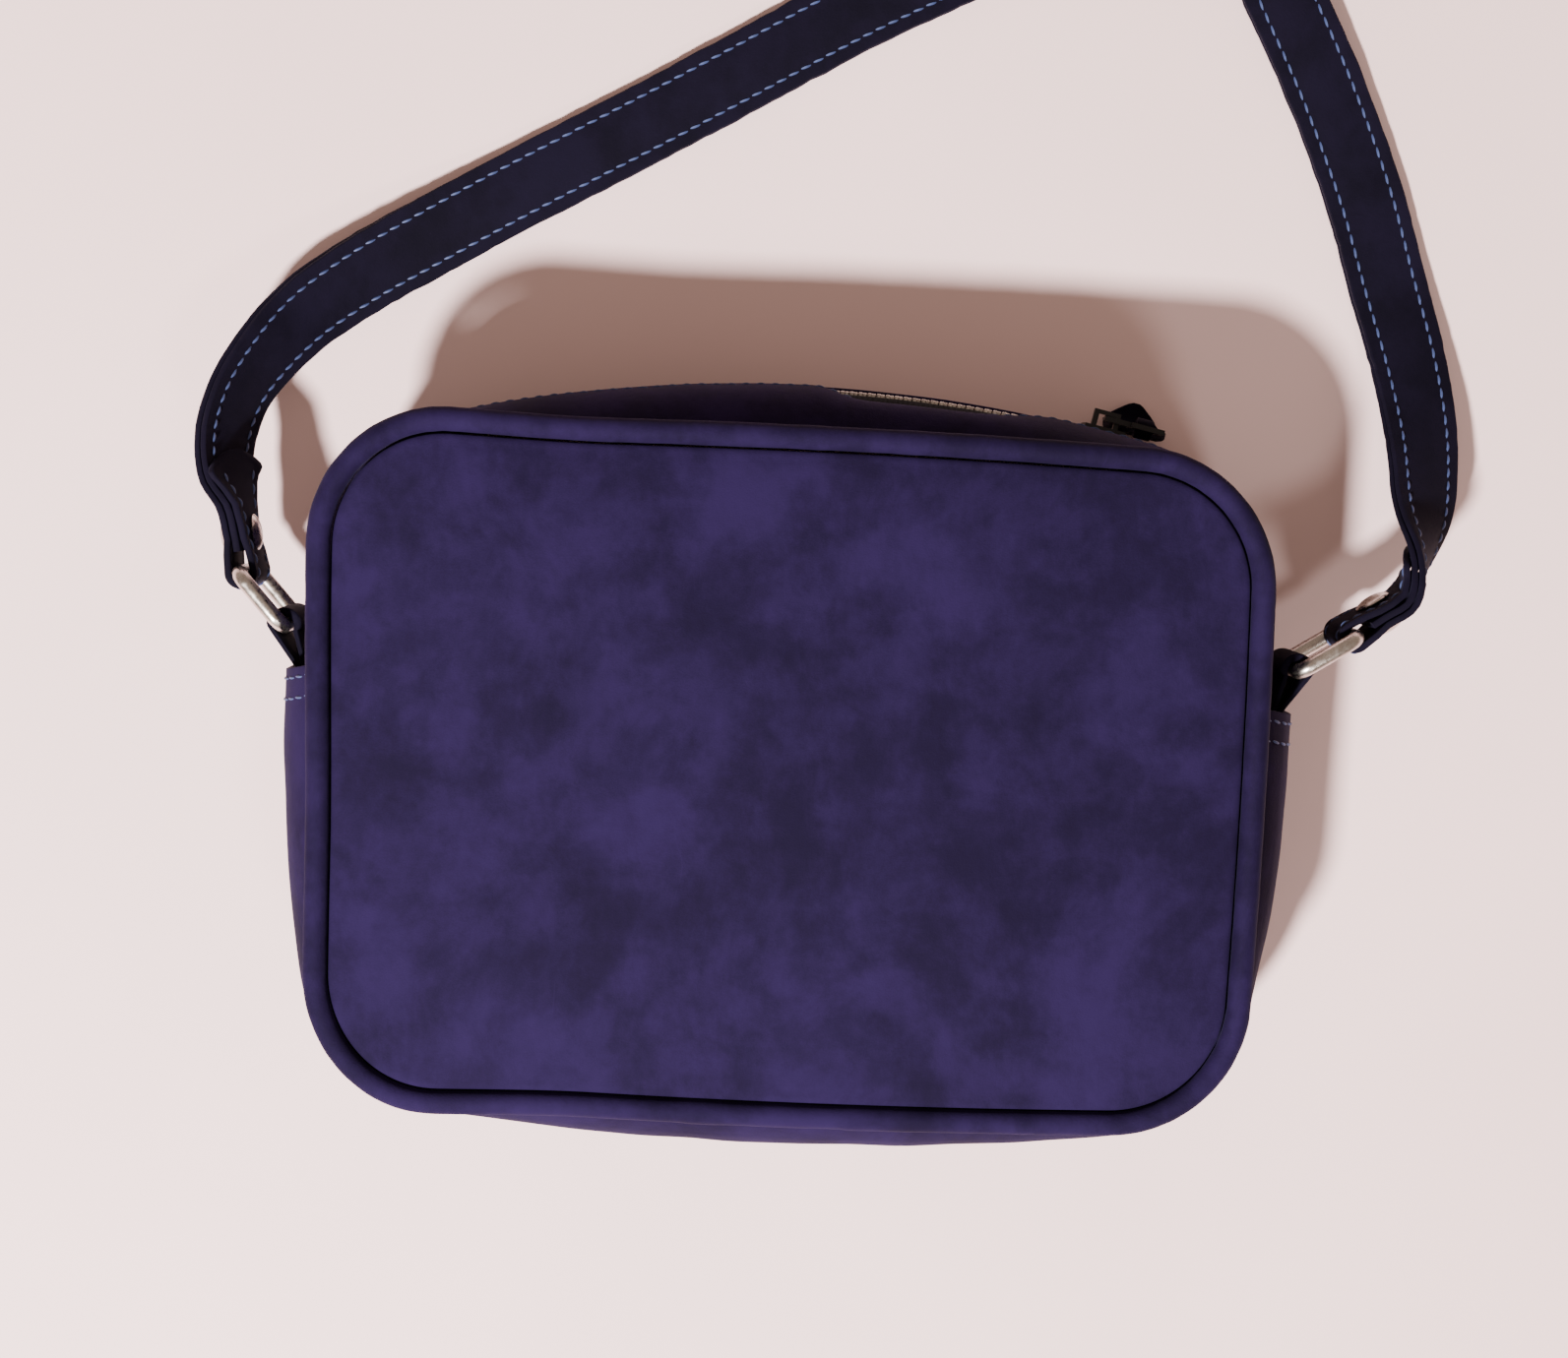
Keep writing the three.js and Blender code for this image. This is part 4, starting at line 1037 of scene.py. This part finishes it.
class BAG_OT_strap(bpy.types.Operator):
    """Make the two-layer stitched strap, in halves that meet out at its loop, and its rivets"""

    bl_idname = "bag.strap"
    bl_label = "Strap and rivets"

    def execute(self, context):
        size = context.scene.strap_sizes
        self.size = size
        self.run = StrapRun(size.width)
        run = self.run
        middle = run.total / 2
        steps = 250
        for name, end, begin, stop, fixed, turned in (
            ("left", run.left, 0.0, middle, (-0.1212, 0.103, 0.02), (-0.1335, 0.052, 0.03)),
            ("right", run.right, run.total, middle, (0.1495, 0.112, 0.02), (0.149, 0.056, 0.03)),
        ):
            stations = [run.station(d) for d in ramp(begin, stop, steps)]
            outer = [*self.fold(end, begin), *[(p, f, w, 1.0, PLY / 2) for p, f, w in stations]]
            lead = run.station(begin)
            inner = [(end.at(0.005, PLY / 2), lead[1], lead[2], 1.0, -PLY / 2)]
            inner += [(p, f, w, 1.0, -PLY / 2) for p, f, w in stations]
            if name == "right":
                # the right half is walked backwards, so its faces turn over to match
                outer = [(p, f, -w, s, o) for p, f, w, s, o in outer]
                inner = [(p, f, -w, s, o) for p, f, w, s, o in inner]
            shape = Shape("strap", "thread")
            for layer in (outer, inner):
                shape.loft([self.section(*s) for s in layer])
            for row in (-1, 1):
                across = row * (size.width / 2 - size.inset)
                shape.stitches(self.row(outer[5:], across, 1), size.pitch, size.thread)
                shape.stitches(self.row(inner[9:], across, -1), size.pitch, size.thread)
            path = [end.at(0, PLY / 2), end.at(0.004, PLY / 2), *[p for p, _, _ in stations]]
            self.rivets(name, run.station(0.001 if name == "left" else run.total - 0.001))
            piece = shape.build(f"strap_half_{name}", body=None, nodes=["strap_outer_layer", "strap_inner_layer"])
            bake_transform(piece)
        return {"FINISHED"}

    def fold(self, end, begin):
        """Stations of the outer layer from the flap's tip, along the strap and round the bar."""
        stations = []
        inwards = 1 if begin == 0 else -1
        for along, share in TIP:
            p, face, wide = self.run.station(begin + inwards * along)
            stations.append((p, -face, wide, share, 1.5 * PLY + 0.0001))
        wide = Vector((0, 0, math.copysign(1, stations[0][2].z)))
        radius = self.size.wire + GAP + self.size.layer / 2
        add = lambda along, out, face: stations.append((end.at(along, out), face, wide, 1.0, 0.0))
        add(0.0045, -(PLY + radius) / 2 - 0.0002, -end.away)
        for turn in ramp(180, 0, 14):
            a = math.radians(turn)
            face = end.run * -math.sin(a) + end.away * math.cos(a)
            add(-radius * math.sin(a), radius * math.cos(a), face)
        add(0.0045, (PLY + radius) / 2 + 0.0001, end.away)
        return stations

    def section(self, p, face, wide, share, offset):
        """One layer's section, drawn in a little along its stitch rows, with rough edges."""
        w, t = self.size.width / 2 * share, self.size.layer / 2
        row = (self.size.width / 2 - self.size.inset) * share
        rough = 0.00016 * noise.noise(p * 900) + 0.0002 * noise.noise(p * 210)
        left, right = -w - rough, w + 0.8 * rough
        dip, near = 0.00014 if share >= 1 else 0.0, 0.0007
        top = [(left, 0.55), (left + 0.00025, 0.92), (-row - near, 1), (-row, 1 - dip / t), (near - row, 1),
               (0, 1.0), (row - near, 1), (row, 1 - dip / t), (row + near, 1), (right - 0.00025, 0.92), (right, 0.55)]
        bottom = [(a, -b) for a, b in reversed(top)]
        if share < 0.9:
            top = [(left * (1 - k / 5) + right * k / 5, (0.6, 1, 1, 1, 1, 0.6)[k]) for k in range(6)]
            top = [top[0], *[(left + (right - left) * k / 10, 1) for k in range(1, 10)], top[-1]]
            bottom = [(a, -b) for a, b in reversed(top)]
        return [p + wide * a + face * (b * t + offset) for a, b in [*top, *bottom]]

    def row(self, stations, across, side):
        t = self.size.layer / 2 - 0.0001
        return [(p + w * across + f * (o + side * t), f * side) for p, f, w, _, o in stations]

    def rivets(self, name, station):
        """Domed heads spun from their profiles, on the rivet's line through the strap."""
        radius = self.size.rivet
        p, away, _ = station
        face = PLY + self.size.layer / 2 + 2.4 * GAP
        dome = [(0.0, 0.0014), (0.3, 0.00132), (0.55, 0.00112), (0.78, 0.00078), (0.93, 0.0004), (1.0, 0.00005),
                (0.97, -0.0002), (0.4, -0.0002)]
        for piece, side in (("cap", 1), ("base", -1)):
            mesh = bpy.data.meshes.new("profile")
            mesh.from_pydata([(radius * r, 0, face + y) for r, y in dome], [(i, i + 1) for i in range(7)], [])
            head = bpy.data.objects.new(f"rivet_head_{piece}_{name}", mesh)
            bpy.context.collection.objects.link(head)
            chosen(head)
            bpy.ops.object.mode_set(mode="EDIT")
            bpy.ops.mesh.select_all(action="SELECT")
            bpy.ops.mesh.spin(steps=40, angle=2 * math.pi, center=(0, 0, 0), axis=(0, 0, 1))
            bpy.ops.mesh.select_all(action="SELECT")
            bpy.ops.mesh.remove_doubles(threshold=0.00001)
            bpy.ops.mesh.normals_make_consistent(inside=False)
            bpy.ops.object.mode_set(mode="OBJECT")
            turn = Vector((0, 0, 1)).rotation_difference(away * side).to_matrix().to_4x4()
            mesh.transform(Matrix.Translation(p - away * PLY / 2) @ turn)
            mesh.materials.append(finish_of("nickel"))
            settled(head, f"ring_{name}", 35, [f"rivet_{piece}_{name}"])


class BAG_OT_stage(bpy.types.Operator):
    """Lay the table, set the lights and stand the camera over the bag"""

    bl_idname = "bag.stage"
    bl_label = "Table, lights and camera"

    def execute(self, context):
        look = context.scene.bag_colours
        bpy.ops.mesh.primitive_plane_add(size=4, location=(0, 0, -0.0002))
        table = bpy.context.object
        table.name = "table"

        def paint(point, uv):
            stain = point.noise(9.0, 3.0, 0.5).between(0.3, 0.7)
            base = tuple(look.table)
            return {"Base_Color": stain.mixed(shade(base, 0.975), shade(base, 1.02))}

        table.data.materials.append(finish("painted table", paint, Roughness=0.55, Specular_IOR_Level=0.25))

        for name, place, power, width, tint in (
            ("main light", (-0.45, -0.66, 1.16), 70, 0.13, (1.0, 0.95, 0.94)),
            ("second light", (0.55, -1.1, 1.6), 10, 0.3, (1.0, 0.93, 0.9)),
        ):
            lamp = bpy.data.lights.new(name, "AREA")
            lamp.shape = "DISK"
            lamp.size = width
            lamp.energy = power
            lamp.color = tint
            stand = bpy.data.objects.new(name, lamp)
            stand.location = place
            aim = Vector((0, 0.05, 0)) - Vector(place)
            stand.rotation_euler = aim.to_track_quat("-Z", "Y").to_euler()
            context.collection.objects.link(stand)

        world = bpy.data.worlds.new("room")
        world.use_nodes = True
        background = world.node_tree.nodes["Background"]
        background.inputs["Color"].default_value = (1.0, 0.77, 0.64, 1.0)
        background.inputs["Strength"].default_value = 0.45
        context.scene.world = world

        lens = bpy.data.cameras.new("camera")
        lens.lens = 63.3
        lens.sensor_width = 36.0
        lens.clip_start = 0.01
        eye = bpy.data.objects.new("camera", lens)
        turn = Matrix.Rotation(math.radians(-2.6), 3, "Z") @ Matrix.Rotation(math.radians(0.95), 3, "Y")
        turn = turn @ Matrix.Rotation(math.radians(4.61), 3, "X")
        eye.matrix_world = Matrix.Translation((-0.0124, 0.0738, 0.6868)) @ turn.transposed().to_4x4()
        context.collection.objects.link(eye)
        context.scene.camera = eye
        return {"FINISHED"}


class BAG_PT_panel(bpy.types.Panel):
    """The bag's sizes and the buttons that make its pieces"""

    bl_idname = "BAG_PT_panel"
    bl_label = "Crossbody bag"
    bl_space_type = "VIEW_3D"
    bl_region_type = "UI"
    bl_category = "Bag"

    def draw(self, context):
        for key in GROUPS:
            group = getattr(context.scene, key)
            box = self.layout.box()
            for name in group.bl_rna.properties.keys():
                if name not in ("rna_type", "name"):
                    box.prop(group, name)
        for operator in OPERATORS:
            self.layout.operator(operator.bl_idname)


GROUPS = {
    "bag_sizes": BagSizes, "zip_sizes": ZipSizes, "strap_sizes": StrapSizes, "bag_colours": BagColours,
}
OPERATORS = (
    BAG_OT_stage, BAG_OT_strap, BAG_OT_panels, BAG_OT_piping, BAG_OT_gussets,
    BAG_OT_zip, BAG_OT_hardware, BAG_OT_puller, BAG_OT_rings,
)


def register():
    for group in GROUPS.values():
        bpy.utils.register_class(group)
    for key, group in GROUPS.items():
        setattr(bpy.types.Scene, key, bpy.props.PointerProperty(type=group))
    for operator in OPERATORS:
        bpy.utils.register_class(operator)
    bpy.utils.register_class(BAG_PT_panel)


def unregister():
    bpy.utils.unregister_class(BAG_PT_panel)
    for operator in reversed(OPERATORS):
        bpy.utils.unregister_class(operator)
    for key, group in GROUPS.items():
        delattr(bpy.types.Scene, key)
        bpy.utils.unregister_class(group)


def main():
    register()
    bpy.ops.bag.stage()
    bpy.ops.bag.strap()
    bpy.ops.bag.panels()
    bpy.ops.bag.piping()
    bpy.ops.bag.gussets()
    bpy.ops.bag.zip()
    bpy.ops.bag.hardware()
    bpy.ops.bag.puller()
    bpy.ops.bag.rings()


if __name__ == "__main__":
    main()
